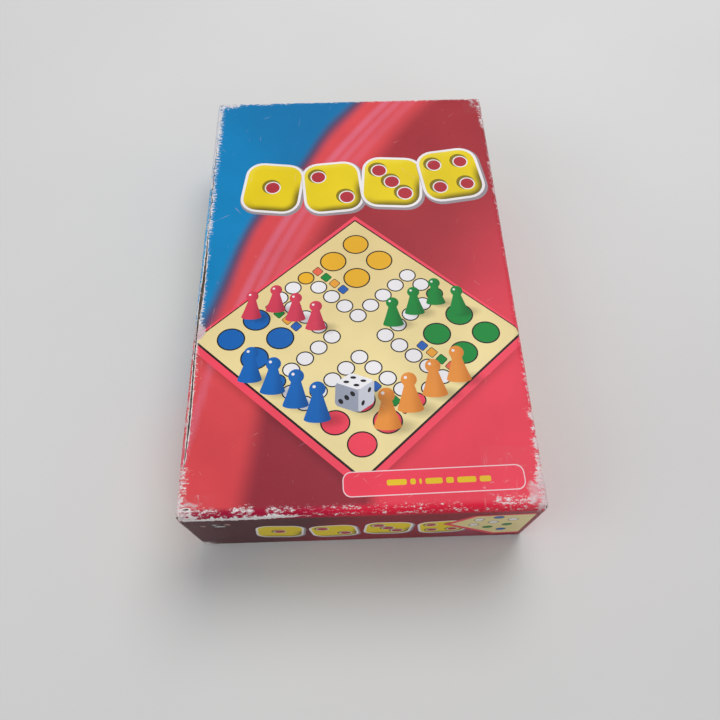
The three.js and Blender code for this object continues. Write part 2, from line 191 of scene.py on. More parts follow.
@dataclass(frozen=True)
class BoardStock(Finish):
    """Recycled or white board, paper or gummed tape: fibres, flecks and soiling, no gloss."""

    light: str = "#a39787"
    dark: str = "#7d7265"
    fleck: str = "#5a5148"
    fleck_share: float = 0.34
    fibre: float = 0.9
    soiling: float = 24.0
    rough: float = 0.93
    relief: float = 0.35

    def dress(self, tree: Tree, shader: Node, place: Socket) -> None:
        """Mixes the pulp's two tones by cloudy soiling, and scatters fibres and flecks over it."""
        cloud = add(tree, "TexNoise", [place, per(self.soiling), 3.0])
        tone = add(tree, "MapRange", [cloud, 0.2, 0.95])
        pulp = add(tree, "Mix", [tone, paint(self.light), paint(self.dark)], data_type="RGBA")
        drawn = add(tree, "Mapping", {"Vector": place, "Scale": (1.0, 0.28, 1.0)})
        fibres = add(tree, "TexNoise", [drawn, per(self.fibre), 5.0, 0.7])
        flecks = add(tree, "MapRange", [fibres, self.fleck_share, self.fleck_share - 0.06])
        speckled = add(tree, "Mix", [flecks, pulp, paint(self.fleck)], data_type="RGBA")
        bump = add(tree, "Bump", {"Height": fibres, "Strength": self.relief, "Distance": 0.12 * MM})
        rough = add(tree, "MapRange", [fibres, 0.0, 1.0, self.rough - 0.08, self.rough + 0.05])
        feed(shader,
             {"Base Color": speckled, "Normal": bump, "Roughness": rough, "Specular IOR Level": 0.25})


@dataclass(frozen=True)
class PrintedPaper(Finish):
    """Offset-printed paper with a thin varnish: crisp ink, satin gloss, scuffs, and a white core where worn.

    The ink is in the mesh's "print" attribute, whose alpha is 0 on bare torn paper and 2 in a crease that is
    painted dark as shade.
    The "wear" attribute says how far the varnish and ink are rubbed away.
    """

    core: str = "#f8f4f4"
    pulp: str = "#a2968a"
    crease_shade: str = "#3a302c"
    gloss: float = 0.36
    grain: float = 0.55
    scratch: float = 0.30
    haze: float = 0.2
    shine: float = 0.1

    def dress(self, tree: Tree, shader: Node, place: Socket) -> None:
        """Lays the ink, then the fading, the fine scratches and the worn core over it."""
        ink = add(tree, "Attribute", attribute_name="print")
        wear = add(tree, "Attribute", attribute_name="wear")
        cloud = add(tree, "TexNoise", [place, per(38.0), 3.0])
        fade = add(tree, "MapRange", [cloud, 0.3, 0.7, 0.93, 1.06])
        faded = add(tree, "VectorMath", [ink.outputs["Color"], fade], operation="MULTIPLY")

        # Scuffs are drawn about 0.3 mm wide, three times the real width, or they would not show.
        lines = []
        for turn, run in ((0.5, 5.0), (-0.9, 3.2), (1.4, 4.0)):
            lay = add(tree, "Mapping", {"Vector": place, "Rotation": (0.0, 0.0, turn),
                                        "Scale": (run / self.scratch, 1.0, 3.0)}, vector_type="TEXTURE")
            line = add(tree, "TexNoise",
                       {"Vector": lay, "Scale": per(self.scratch * 3), "Detail": 1.0, "Distortion": 0.5})
            keen = add(tree, "MapRange", [line, 0.775, 0.84])
            lines.append(keen)
        two = add(tree, "Math", [lines[0], lines[1]], operation="MAXIMUM")
        scratches = add(tree, "Math", [two, lines[2]], operation="MAXIMUM")
        faint = add(tree, "Math", [scratches, 0.42], operation="MULTIPLY")
        scuffed = add(tree, "Mix", [faint, faded, paint("#e9c3c4")], data_type="RGBA")

        # The rubbed edge breaks up into strokes across the fold, about 2 mm long and down to 0.2 mm wide.
        strokes = add(tree, "Mapping", {"Vector": place, "Scale": (0.5, 1.0, 1.0)})
        flakes = add(tree, "TexNoise", [strokes, per(1.2), 3.5, 0.72, 2.2])
        keener = add(tree, "MapRange", [flakes, 0.26, 0.74])
        edge = add(tree, "Math", [wear.outputs["Fac"], keener], operation="ADD")
        rubbed = add(tree, "MapRange", [edge, 1.0, 1.1])
        haze = add(tree, "MapRange", [edge, 0.86, 1.02, 0.0, self.haze])
        deep = add(tree, "MapRange", [edge, 1.62, 1.85])
        bare = add(tree, "Math", [1.0, ink.outputs["Alpha"]], operation="SUBTRACT")
        gone = add(tree, "Math", [rubbed, bare], operation="MAXIMUM")
        shown = add(tree, "Math", [gone, haze], operation="MAXIMUM")
        dirt = add(tree, "TexNoise", [place, per(1.1), 4.0])
        tone = add(tree, "MapRange", [dirt, 0.3, 0.75])
        white = add(tree, "Mix", [tone, paint(self.core), paint("#dcd5d6")], data_type="RGBA")
        core = add(tree, "Mix", [0.14, white, faded], data_type="RGBA")
        torn = add(tree, "Mix", [deep, core, paint(self.pulp)], data_type="RGBA")
        worn = add(tree, "Mix", [shown, scuffed, torn], data_type="RGBA")
        # A crease is painted near-black, as painted shade.
        shaded_crease = add(tree, "MapRange", [ink.outputs["Alpha"], 1.4, 1.6])
        with_crease_shade = add(tree, "Mix", [shaded_crease, worn, paint(self.crease_shade)], data_type="RGBA")

        grain = add(tree, "TexNoise", [place, per(self.grain), 3.0])
        sheen = add(tree, "MapRange", [grain, 0.0, 1.0, self.gloss - 0.05, self.gloss + 0.09])
        dull = add(tree, "Math", [gone, scratches], operation="MAXIMUM")
        rough = add(tree, "Mix", [dull, sheen, 0.9], data_type="FLOAT")
        low = add(tree, "Math", [gone, -0.6], operation="MULTIPLY")
        height = add(tree, "Math", [grain, low], operation="ADD")
        bump = add(tree, "Bump", {"Height": height, "Strength": 0.4, "Distance": 0.07 * MM})
        feed(shader,
             {"Base Color": with_crease_shade, "Roughness": rough, "Normal": bump, "Specular IOR Level": self.shine})


@dataclass(frozen=True)
class TurnedPaper(Finish):
    """Plain dyed paper round a box wall: satin, with rubbed edges found from the wall's own size."""

    ink: str = "#b23440"
    half_width: float = 84.5
    half_length: float = 135.0
    top: float = 57.75
    rubbed_width: float = 1.6

    def dress(self, tree: Tree, shader: Node, place: Socket) -> None:
        """Rubs the paper's ink away towards the rim, the foot and the upright corners."""
        axes = add(tree, "SeparateXYZ", [place])
        nearness = []
        for axis, reach in (("X", self.half_width), ("Y", self.half_length)):
            size = add(tree, "Math", [axes.outputs[axis]], operation="ABSOLUTE")
            near = add(tree, "MapRange", [size, (reach - 3 * self.rubbed_width) * MM, reach * MM])
            nearness.append(near)
        upright = add(tree, "Math", [nearness[0], nearness[1]], operation="MULTIPLY")
        rim = add(tree, "MapRange", [axes.outputs["Z"], (self.top - self.rubbed_width) * MM, self.top * MM])
        foot = add(tree, "MapRange", [axes.outputs["Z"], self.rubbed_width * MM, 0.0])
        ends = add(tree, "Math", [rim, foot], operation="MAXIMUM")
        edges = add(tree, "Math", [ends, upright], operation="MAXIMUM")
        flakes = add(tree, "TexNoise", [place, per(2.2), 6.0, 0.7])
        share = add(tree, "Math", [edges, 0.55], operation="MULTIPLY")
        edge = add(tree, "Math", [share, flakes], operation="ADD")
        rubbed = add(tree, "MapRange", [edge, 0.86, 0.94])
        cloud = add(tree, "TexNoise", [place, per(30.0), 4.0])
        fade = add(tree, "MapRange", [cloud, 0.3, 0.7, 0.9, 1.08])
        dyed = add(tree, "VectorMath", [paint(self.ink)[:3], fade], operation="MULTIPLY")
        worn = add(tree, "Mix", [rubbed, dyed, paint("#e4dcd6")], data_type="RGBA")
        rough = add(tree, "MapRange", [edge, 0.0, 1.0, 0.42, 0.78])
        grain = add(tree, "TexNoise", [place, per(0.6), 3.0])
        bump = add(tree, "Bump", {"Height": grain, "Strength": 0.35, "Distance": 0.06 * MM})
        feed(shader, {"Base Color": worn, "Roughness": rough, "Normal": bump})


@dataclass(frozen=True)
class ClearFilm(Finish):
    """Clear polypropylene tape: thin glossy film, milky where air sits under it, with fine stretch lines."""

    haze: str = "#eec4d2"
    clear_share: float = 0.006
    milky_share: float = 0.5
    bubble: float = 7.0

    def dress(self, tree: Tree, shader: Node, place: Socket) -> None:
        """Makes the film see-through, and milky in bubbles and along its own edges."""
        lifted = add(tree, "Attribute", attribute_name="wear")
        pocket = add(tree, "TexNoise",
                     {"Vector": place, "Scale": per(self.bubble), "Detail": 4.0, "Distortion": 1.4})
        drawn = add(tree, "Mapping", {"Vector": place, "Scale": (1.0, 0.12, 1.0)})
        stretch = add(tree, "TexNoise", [drawn, per(1.3), 4.0])
        total = add(tree, "Math", [pocket, lifted.outputs["Fac"]], operation="ADD")
        milky = add(tree, "MapRange", [total, 0.64, 0.9, self.clear_share, self.milky_share])
        streak = add(tree, "MapRange", [stretch, 0.6, 0.74, 0.0, 0.07])
        alpha = add(tree, "Math", [milky, streak], operation="ADD", use_clamp=True)
        tint = add(tree, "Mix", [pocket, paint(self.haze), paint("#f7f1ef")], data_type="RGBA")
        rough = add(tree, "MapRange", [stretch, 0.0, 1.0, 0.08, 0.26])
        height = add(tree, "Math", [pocket, stretch], operation="ADD")
        bump = add(tree, "Bump", {"Height": height, "Strength": 0.5, "Distance": 0.25 * MM})
        feed(shader, {"Alpha": alpha, "Base Color": tint, "Roughness": rough, "Normal": bump, "IOR": 1.49})


@dataclass(frozen=True)
class MouldedPlastic(Finish):
    """Injection-moulded polystyrene or acrylic: an even dye, soft gloss, flow marks and small scuffs."""

    dye: str = "#ffffff"
    shade: str = "#dddddd"
    rough: float = 0.26
    depth: float = 0.0

    def dress(self, tree: Tree, shader: Node, place: Socket) -> None:
        """Varies the dye along the flow, and dulls the gloss in scuffs."""
        drawn = add(tree, "Mapping", {"Vector": place, "Scale": (1.0, 1.0, 0.35)})
        flow = add(tree, "TexNoise", {"Vector": drawn, "Scale": per(6.0), "Detail": 3.0, "Distortion": 0.8})
        tone = add(tree, "MapRange", [flow, 0.35, 0.7])
        dyed = add(tree, "Mix", [tone, paint(self.dye), paint(self.shade)], data_type="RGBA")
        scuff = add(tree, "TexNoise", [place, per(0.9), 6.0, 0.75])
        dull = add(tree, "MapRange", [scuff, 0.45, 0.75, self.rough, self.rough + 0.25])
        rubbed = add(tree, "MapRange", [scuff, 0.64, 0.74, 0.0, 0.3])
        worn = add(tree, "Mix", [rubbed, dyed, paint("#f3efe9")], data_type="RGBA")
        bump = add(tree, "Bump", {"Height": scuff, "Strength": 0.25, "Distance": 0.05 * MM})
        feed(shader, {"Base Color": worn, "Roughness": dull, "Normal": bump, "IOR": 1.55,
                      "Subsurface Weight": self.depth, "Subsurface Scale": 1.2 * MM})


@dataclass(frozen=True)
class BookCloth(Finish):
    """Starched cotton book cloth: plain weave with slubs, matt, rubbed pale along the fold."""

    thread: float = 0.9
    warp: str = "#2a2d33"
    weft: str = "#3b3f46"

    def dress(self, tree: Tree, shader: Node, place: Socket) -> None:
        """Crosses two sets of threads, drawn twice as coarse as the real 0.45 mm so that they show."""
        weave = add(tree, "UVMap", uv_map="cloth")
        sets = []
        for direction in ("X", "Y"):
            threads = add(tree, "TexWave",
                          {"Vector": weave, "Scale": per(self.thread) * math.pi / 10, "Distortion": 1.2,
                           "Detail": 2.0, "Detail Scale": 2.0}, bands_direction=direction)
            sets.append(threads.outputs["Fac"])
        over = add(tree, "Math", [sets[0], sets[1]], operation="MULTIPLY")
        slubs = add(tree, "TexNoise", [place, per(2.4), 4.0])
        mixed = add(tree, "Math", [over, slubs], operation="ADD")
        colour = add(tree, "Mix", [mixed, paint(self.warp), paint(self.weft)], data_type="RGBA")
        bump = add(tree, "Bump", {"Height": over, "Strength": 0.7, "Distance": 0.12 * MM})
        rough = add(tree, "MapRange", [slubs, 0.0, 1.0, 0.78, 0.95])
        feed(shader, {"Base Color": colour, "Roughness": rough, "Normal": bump, "Sheen Weight": 0.25,
                      "Sheen Roughness": 0.5})


# Litho-printed label paper round the lid: satin ink that rubs away to a white core
LID_PAPER = PrintedPaper("printed_label_paper")
# The same stock on the board's leaves, cleaner because it lies inside
FIELD_PAPER = PrintedPaper("printed_field_paper", gloss=0.4, grain=0.7)
# Torn label paper seen edge on: fibrous and white
TORN_PAPER = BoardStock("torn_paper_core", "#efe9e5", "#ddd2cc", "#c3b4ad", 0.36, 0.35, 6.0, 0.95, 0.5)
# Grey chipboard from recycled pulp: brown-grey with dark flecks
CHIPBOARD = BoardStock("grey_chipboard")
# The same stock in the lid, darker as the tear shows it: dirt, and painted shade for the dark split
DIRTY_AND_SHADED_BOARD = BoardStock("dirty_and_shaded_grey_chipboard", "#75675a", "#5b4f45", "#3f362f")
# Gummed kraft paper: brown with long fibres
KRAFT = BoardStock("gummed_kraft_tape", "#b98f5c", "#a37a49", "#7c5a33", 0.33, 0.6, 15.0, 0.82, 0.3)
# White-lined folding card: off-white, a little yellowed
WHITE_CARD = BoardStock("white_lined_card", "#e6e2d8", "#d8d2c4", "#b9b1a1", 0.30, 0.7, 35.0, 0.85, 0.25)
# Plain dyed paper round the base: satin crimson, rubbed at its edges
DYED_PAPER = TurnedPaper("dyed_wrap_paper")
# Clear polypropylene packing tape
CLEAR_TAPE = ClearFilm("clear_polypropylene_tape")
# Cotton book cloth over the spine
SPINE_CLOTH = BookCloth("cotton_book_cloth")
# Cast acrylic die, white with a little depth, and black pip enamel
DIE_ACRYLIC = MouldedPlastic("white_cast_acrylic", "#ebe8e2", "#ddd8cf", 0.2, 0.12)
PIP_ENAMEL = MouldedPlastic("black_pip_enamel", "#17171a", "#232327", 0.32)
# Moulded polystyrene pawns in four dyes
PAWN_DYES = {
    "yellow": MouldedPlastic("orange_yellow_polystyrene", "#ee9641", "#e0852f", 0.24, 0.05),
    "blue": MouldedPlastic("blue_polystyrene", "#0f69b9", "#0b58a3", 0.24, 0.05),
    "green": MouldedPlastic("green_polystyrene", "#0f8c3c", "#0b7a31", 0.24, 0.05),
    "red": MouldedPlastic("red_polystyrene", "#d74155", "#c53347", 0.24, 0.05),
}


# Printed sheets


def disc(x: float, y: float, across: float, tall: float = 0.0, steps: int = 24) -> Array:
    """Gives a circle's or an ellipse's outline."""
    turn = np.arange(steps) * math.tau / steps
    return np.stack([x + np.cos(turn) * across / 2, y + np.sin(turn) * (tall or across) / 2], 1)


def tile_outline(x: float, y: float, width: float, height: float, radius: float, turn: float = 0.0) -> Array:
    """Gives a rectangle with round corners, turned about its centre by an angle in degrees."""
    radius = max(radius, 0.05)
    corners = []
    for quarter, (sx, sy) in enumerate(((1, 1), (-1, 1), (-1, -1), (1, -1))):
        arc = math.radians(90 * quarter) + np.linspace(0, math.pi / 2, 7)
        corners.append(np.stack([sx * (width / 2 - radius) + radius * np.cos(arc),
                                 sy * (height / 2 - radius) + radius * np.sin(arc)], 1))
    points = np.concatenate(corners)
    dense = []
    for a, b in zip(points, np.roll(points, -1, 0)):
        steps = max(1, round(float(np.hypot(*(b - a))) / 2.0))
        dense += [a + (b - a) * k / steps for k in range(steps)]
    c, s = math.cos(math.radians(turn)), math.sin(math.radians(turn))
    return np.array(dense) @ np.array([[c, s], [-s, c]]) + np.array([x, y])


def soft_step(value: Array, start: float, end: float) -> Array:
    """Goes smoothly from 0 at the start to 1 at the end."""
    t = np.clip((value - start) / (end - start), 0, 1)
    return t * t * (3 - 2 * t)


def flat_ink(code: str) -> Ink:
    """Gives an even ink of one colour."""
    colour = tones(code)[0]
    return lambda x, y: np.broadcast_to(colour, (*x.shape, 3))


def no_shade(x: Array, y: Array) -> Array:
    """Darkens nothing: such a shape only cuts the triangles finer."""
    return np.ones((*x.shape, 1))


def lattice(across: Array, along: Array) -> Array:
    """Gives the points of a grid."""
    return np.stack(np.meshgrid(across, along), -1).reshape(-1, 2)


def ripple(x: float, y: float, z: float) -> float:
    """Gives smooth noise between -1 and 1."""
    return noise.noise(Vector((x, y, z)))


def inside(outline: Array, points: Array) -> Array:
    """Finds the points that lie inside an outline."""
    near = np.flatnonzero(np.all((points > outline.min(0)) & (points < outline.max(0)), 1))
    x, y = points[near].T[..., None]
    (ax, ay), (bx, by) = outline.T, np.roll(outline, -1, 0).T
    rise = np.where(ay == by, 1.0, by - ay)
    crossed = ((ay > y) != (by > y)) & (x < (bx - ax) * (y - ay) / rise + ax)
    return near[crossed.sum(1) % 2 == 1]


def blend_inks(first: Array, second: Array, share: Array) -> Array:
    """Mixes two inks by a share at each point."""
    return first + (second - first) * share[..., None]


@dataclass
class Patch:
    """One printed shape: an outline and its ink, a shade over what lies below, or a hole.

    The cover is 1 on print, 0 on bare torn paper and 2 in a crease painted dark as shade.
    """

    outline: Array
    ink: Ink | None
    shade: bool = False
    cover: float = 1.0


@dataclass
class PrintedSheet:
    """A flat sheet whose printed shapes are cut into its triangles, so that every edge of ink is crisp."""

    ground: Ink
    patches: list[Patch] = field(default_factory=list)
    crowded: float = 0.7
    join: float = 1e-4

    def lay(self, outline: Array, ink: Ink | str | None, shade: bool = False, cover: float = 1.0) -> None:
        """Adds a shape over those that are there."""
        self.patches.append(Patch(outline, flat_ink(ink) if isinstance(ink, str) else ink, shade, cover))

    def ring(self, x: float, y: float, across: float, ink: str, weight: float) -> None:
        """Adds a filled circle with a line round it."""
        self.lay(disc(x, y, across), LINE)
        self.lay(disc(x, y, across - 2 * weight), ink)

    def cut(self, border: Array, grid: Array) -> tuple[Array, Array, Array]:
        """Cuts the sheet into triangles along the border and every shape.

        Args:
            border: The sheet's own outline.
            grid: Loose points that keep the triangles small.

        Returns:
            The flat points, the triangles, and the ink at each triangle's corners.
        """
        shapes = [border, *(p.outline for p in self.patches)]
        fixed = np.concatenate(shapes)
        near = self.crowded
        cells = {(round(a / near), round(b / near)) for a, b in fixed}
        free = [p for p in grid if (round(p[0] / near), round(p[1] / near)) not in cells]
        loops, start = [], 0
        for shape in shapes:
            loops.append(list(range(start, start + len(shape))))
            start += len(shape)
        points = [Vector(p) for p in [*fixed, *free]]
        found = delaunay_2d_cdt(points, [], loops, 1, self.join, False)
        spots, triangles = np.array([v[:] for v in found[0]]), np.array(found[2])
        x, y = spots[triangles][..., 0], spots[triangles][..., 1]
        ink = np.ones((len(triangles), 3, 4))
        ink[..., :3] = self.ground(x, y)
        middles = np.stack([x.mean(1), y.mean(1)], 1)
        kept = np.zeros(len(triangles), bool)
        kept[inside(border, middles)] = True
        for patch in self.patches:
            own = inside(patch.outline, middles)
            if patch.ink is None:
                kept[own] = False
            elif patch.shade:
                ink[own, :, :3] *= patch.ink(x[own], y[own])
            else:
                ink[own, :, :3] = patch.ink(x[own], y[own])
                ink[own, :, 3] = patch.cover
        return spots, triangles[kept], ink[kept]


# A cross track: the players' home corners and their inks on the box, then start fields and lanes by player
HOMES = ((1, 1), (1, -1), (-1, -1), (-1, 1))
HOME_INKS = ("#f0b52a", "#128a3a", "#f6495f", "#1766b8")
STARTS = {(1, 5): 0, (5, -1): 1, (-1, -5): 2, (-5, 1): 3}
LANES = {(0, 1): 0, (1, 0): 1, (0, -1): 2, (-1, 0): 3}


def cross_track(goals: bool, plain: str, inks: Sequence[str]) -> list[tuple[int, int, str]]:
    """Lists the fields of a cross track, counted from its middle, with the colour of each.

    Args:
        goals: Whether the lanes to the middle are there.
        plain: The colour of a field that is nobody's.
        inks: The players' colours.

    Returns:
        Place across, place along and colour of each field.
    """
    fields = []
    for i in range(-5, 6):
        for j in range(-5, 6):
            near, far = sorted((abs(i), abs(j)))
            if (i, j) in STARTS:
                fields.append((i, j, inks[STARTS[(i, j)]]))
            elif near == 1 or (near == 0 and far == 5):
                fields.append((i, j, plain))
            elif goals and near == 0 and far:
                fields.append((i, j, inks[LANES[(int(np.sign(i)), int(np.sign(j)))]]))
    return fields


def stand(name: str, data: bpy.types.ID) -> Piece:
    """Stands new data in the scene as an object."""
    made = bpy.data.objects.new(name, data)
    bpy.context.scene.collection.objects.link(made)
    return made


def make_piece(name: str, points: Array, faces: Sequence[Sequence[int]], finish: Finish) -> Piece:
    """Makes a mesh object from points in millimetres."""
    mesh = bpy.data.meshes.new(name)
    mesh.from_pydata((np.asarray(points) * MM).tolist(), [], [list(f) for f in faces])
    mesh.materials.append(finish.material())
    return stand(name, mesh)


def set_ink(mesh: Mesh, ink: Array) -> None:
    """Writes the ink at each face corner into the mesh's "print" attribute."""
    layer = mesh.color_attributes.new("print", "FLOAT_COLOR", "CORNER")
    layer.data.foreach_set("color", ink.astype(np.float32).ravel())


def set_wear(mesh: Mesh, wear: Array) -> None:
    """Writes the wear at each vertex into the mesh's "wear" attribute."""
    layer = mesh.attributes.get("wear") or mesh.attributes.new("wear", "FLOAT", "POINT")
    layer.data.foreach_set("value", wear.astype(np.float32).ravel())


def places_of(mesh: Mesh) -> Array:
    """Gives a mesh's vertices in millimetres."""
    found = np.zeros(len(mesh.vertices) * 3, np.float32)
    mesh.vertices.foreach_get("co", found)
    return found.reshape(-1, 3).astype(float) / MM


def normals_of(mesh: Mesh) -> Array:
    """Gives the normal at each of a mesh's vertices."""
    found = np.zeros(len(mesh.vertices) * 3, np.float32)
    mesh.vertices.foreach_get("normal", found)
    return found.reshape(-1, 3)


def move_points(mesh: Mesh, places: Array) -> None:
    """Moves a mesh's vertices to places in millimetres."""
    mesh.vertices.foreach_set("co", (places * MM).astype(np.float32).ravel())
    mesh.update()


def clean_up(piece: Piece, seam: float = 0.002) -> None:
    """Joins a piece's doubles, drops faces without area, and points the normals outwards."""
    work = bmesh.new()
    work.from_mesh(piece.data)
    bmesh.ops.remove_doubles(work, verts=work.verts, dist=seam * MM)
    bmesh.ops.dissolve_degenerate(work, edges=work.edges, dist=seam * MM / 4)
    bmesh.ops.recalc_face_normals(work, faces=work.faces)
    work.to_mesh(piece.data)
    work.free()


def smooth(piece: Piece, degrees: float = 35.0) -> None:
    """Shades a piece smooth, but for its edges sharper than an angle."""
    piece.data.shade_smooth()
    piece.data.set_sharp_from_angle(angle=math.radians(degrees))


def give_thickness(piece: Piece, thickness: float, edge: Finish | None = None, outward: bool = False) -> None:
    """Gives a sheet its thickness, and its cut edges a finish of their own."""
    solid = piece.modifiers.new("thickness", "SOLIDIFY")
    solid.thickness = thickness * MM
    solid.offset = 1.0 if outward else -1.0
    solid.use_even_offset = False
    if edge:
        piece.data.materials.append(edge.material())
        solid.material_offset_rim = 1
    apply_modifiers(piece)


def apply_modifiers(piece: Piece) -> None:
    """Turns a piece with live modifiers into the plain mesh that they give."""
    graph = bpy.context.evaluated_depsgraph_get()
    seen = piece.evaluated_get(graph)
    made = bpy.data.meshes.new_from_object(seen, preserve_all_data_layers=True, depsgraph=graph)
    piece.modifiers.clear()
    old, piece.data = piece.data, made
    made.name = piece.name
    bpy.data.meshes.remove(old)


def place_piece(piece: Piece, body: str, nodes: Sequence[str] = ()) -> None:
    """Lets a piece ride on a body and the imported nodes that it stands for."""
    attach(piece, body)
    if nodes:
        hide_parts(*nodes)
    log.info("%s rides on %s, %d faces", piece.name, body, len(piece.data.polygons))


def dress_nodes(finish: Finish, names: Sequence[str]) -> None:
    """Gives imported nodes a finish, and leaves their meshes alone."""
    for name in names:
        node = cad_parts[name]
        node.data.materials.clear()
        node.data.materials.append(finish.material())
        log.info("%s is dressed in %s", name, finish.name)


# The lid


class LidSide(Enum):
    """The lid's four walls, as unfolded beside the top panel."""

    LEFT = (-1, 0)
    RIGHT = (1, 0)
    FRONT = (0, -1)
    BACK = (0, 1)


@dataclass(frozen=True)
class LidForm:
    """How the flat label sheet folds over the lid: top panel, four flaps, the rim and the turned-in band."""

    width: float = 175.0
    length: float = 276.0
    height: float = 60.0
    rim: float = 1.2
    fold: float = 3.0
    corner: float = 2.4
    lip: float = 0.5
    wall: float = 2.3
    band: float = 14.0
    step: float = 2.5
    fold_step: float = 1.3
    band_step: float = 1.5
    fine_step: float = 0.8

    @property
    def half_x(self) -> float:
        """Half the flat panel's width, up to its folds."""
        return self.width / 2 - self.fold

    @property
    def half_y(self) -> float:
        """Half the flat panel's length, up to its folds."""
        return self.length / 2 - self.fold

    def stations(self) -> Array:
        """Gives the rows down a wall and back up inside: distance from the panel, inset and height."""
        rows = [(self.fold * (1 - math.sin(a)), self.height - self.fold * (1 - math.cos(a)))
                for a in np.linspace(0, math.pi / 2, 7)]
        rows += [(0.0, z) for z in np.linspace(self.height - self.fold, self.rim + self.lip, 24)[1:]]
        rows += [(self.lip * (1 - math.cos(a)), self.rim + self.lip * (1 - math.sin(a)))
                 for a in np.linspace(0, math.pi / 2, 4)[1:]]
        rows += [(self.wall - self.lip * (1 - math.sin(a)), self.rim + self.lip * (1 - math.cos(a)))
                 for a in np.linspace(0, math.pi / 2, 4)]
        rows += [(self.wall, z) for z in np.linspace(self.rim + self.lip, self.rim + self.band, 5)[1:]]
        path = np.array(rows)
        run = np.concatenate([[0], np.cumsum(np.hypot(*np.diff(path, axis=0).T))])
        return np.column_stack([run, path])

    def down_to(self, height: float) -> float:
        """Gives the distance from the panel's edge, over the fold, down to a height on the wall."""
        return self.fold * math.pi / 2 + (self.height - self.fold - height)

    def folded(self, flat: Array) -> Array:
        """Folds flat points over the lid."""
        run, inset, high = self.stations().T
        x, y = flat.T
        over_x = np.maximum(np.abs(x) - self.half_x, 0)
        over_y = np.maximum(np.abs(y) - self.half_y, 0)
        beyond = over_x + over_y
        inward = np.interp(beyond, run, inset)
        z = np.interp(beyond, run, high)
        px = np.where(over_x > 0, np.sign(x) * (self.width / 2 - inward), x)
        py = np.where(over_y > 0, np.sign(y) * (self.length / 2 - inward), y)
        return np.stack([px, py, z], 1)

    def border(self) -> Array:
        """Gives the cross-shaped outline of the unfolded sheet, with a point at each row of its flaps."""
        run = self.stations()[:, 0]
        x, y = self.half_x, self.half_y
        loop = []
        for sx, sy in ((1, -1), (1, 1), (-1, 1), (-1, -1)):
            for along, rows in ((sx != sy, run[:0:-1]), (sx == sy, run)):
                loop += [(sx * x, sy * (y + r)) if along else (sx * (x + r), sy * y) for r in rows]
        return np.array(loop)

    def grid(self, boxes: Sequence[tuple[float, float, float, float]]) -> Array:
        """Gives the loose points: a grid on the panel, finer in some boxes, and rows down the flaps."""
        rng = np.random.default_rng(5)
        run = self.stations()[1:-1, 0]
        xs = np.arange(-self.half_x + 0.9, self.half_x - 0.5, self.step)
        ys = np.arange(-self.half_y + 0.9, self.half_y - 0.5, self.step)
        top = lattice(xs, ys)
        top += rng.uniform(-0.25, 0.25, top.shape)
        beside = CoverInks.beside(*top.T)
        sets = [top[(beside < -6) | (beside > 36) | (top[:, 1] < -40)]]
        for side in LidSide:
            sx, sy = side.value
            coarse = ys if sx else xs
            fine = np.arange(coarse[0], coarse[-1], self.fold_step)
            near = np.concatenate([[-3.6, -2.7, -1.8, -0.9, 0.0], run[:7]])
            for along, rows in ((fine, near), (coarse, run[7:])):
                a, r = (g.ravel() for g in np.meshgrid(along, rows))
                sets.append(np.stack([sx * (self.half_x + r), a] if sx else [a, sy * (self.half_y + r)], 1))
        for x0, y0, x1, y1 in boxes:
            sets.append(lattice(np.arange(x0, x1, self.fine_step), np.arange(y0, y1, self.fine_step)))
        band = lattice(np.arange(-84, 64, self.band_step), np.arange(-40, 134, self.band_step))
        beside = CoverInks.beside(*band.T)
        sets.append(band[(beside > -6) & (beside < 36)])
        return np.concatenate(sets)

    def corner_rows(self, sx: int, sy: int) -> tuple[Array, Array]:
        """Gives the rows round one upright corner, from the side flap to the end flap.

        Args:
            sx: The corner's side across.
            sy: The corner's side along.

        Returns:
            Points in space by row, and the flat points whose ink and wear they take.
        """
        spots, flats = [], []
        arc = np.linspace(0, math.pi / 2, 6)
        for run, inset, z in self.stations():
            radius = max(self.corner - inset, 0.02)
            bx, by = self.width / 2 - inset, self.length / 2 - inset
            row = [(bx, self.half_y)]
            if inset < self.fold - 1e-6:
                row += [(bx - radius + radius * math.cos(a), by - radius + radius * math.sin(a)) for a in arc]
            else:
                row += [(self.half_x, self.half_y)] * len(arc)
            row.append((self.half_x, by))
            if inset >= self.fold - 1e-6:
                row = [(self.half_x, self.half_y)] * len(row)
            spots.append([(sx * a, sy * b, z) for a, b in row])
            half = len(row) // 2
            flats.append([(sx * (self.half_x + run), sy * self.half_y)] * half
                         + [(sx * self.half_x, sy * (self.half_y + run))] * (len(row) - half))
        return np.array(spots), np.array(flats)


LID = LidForm()


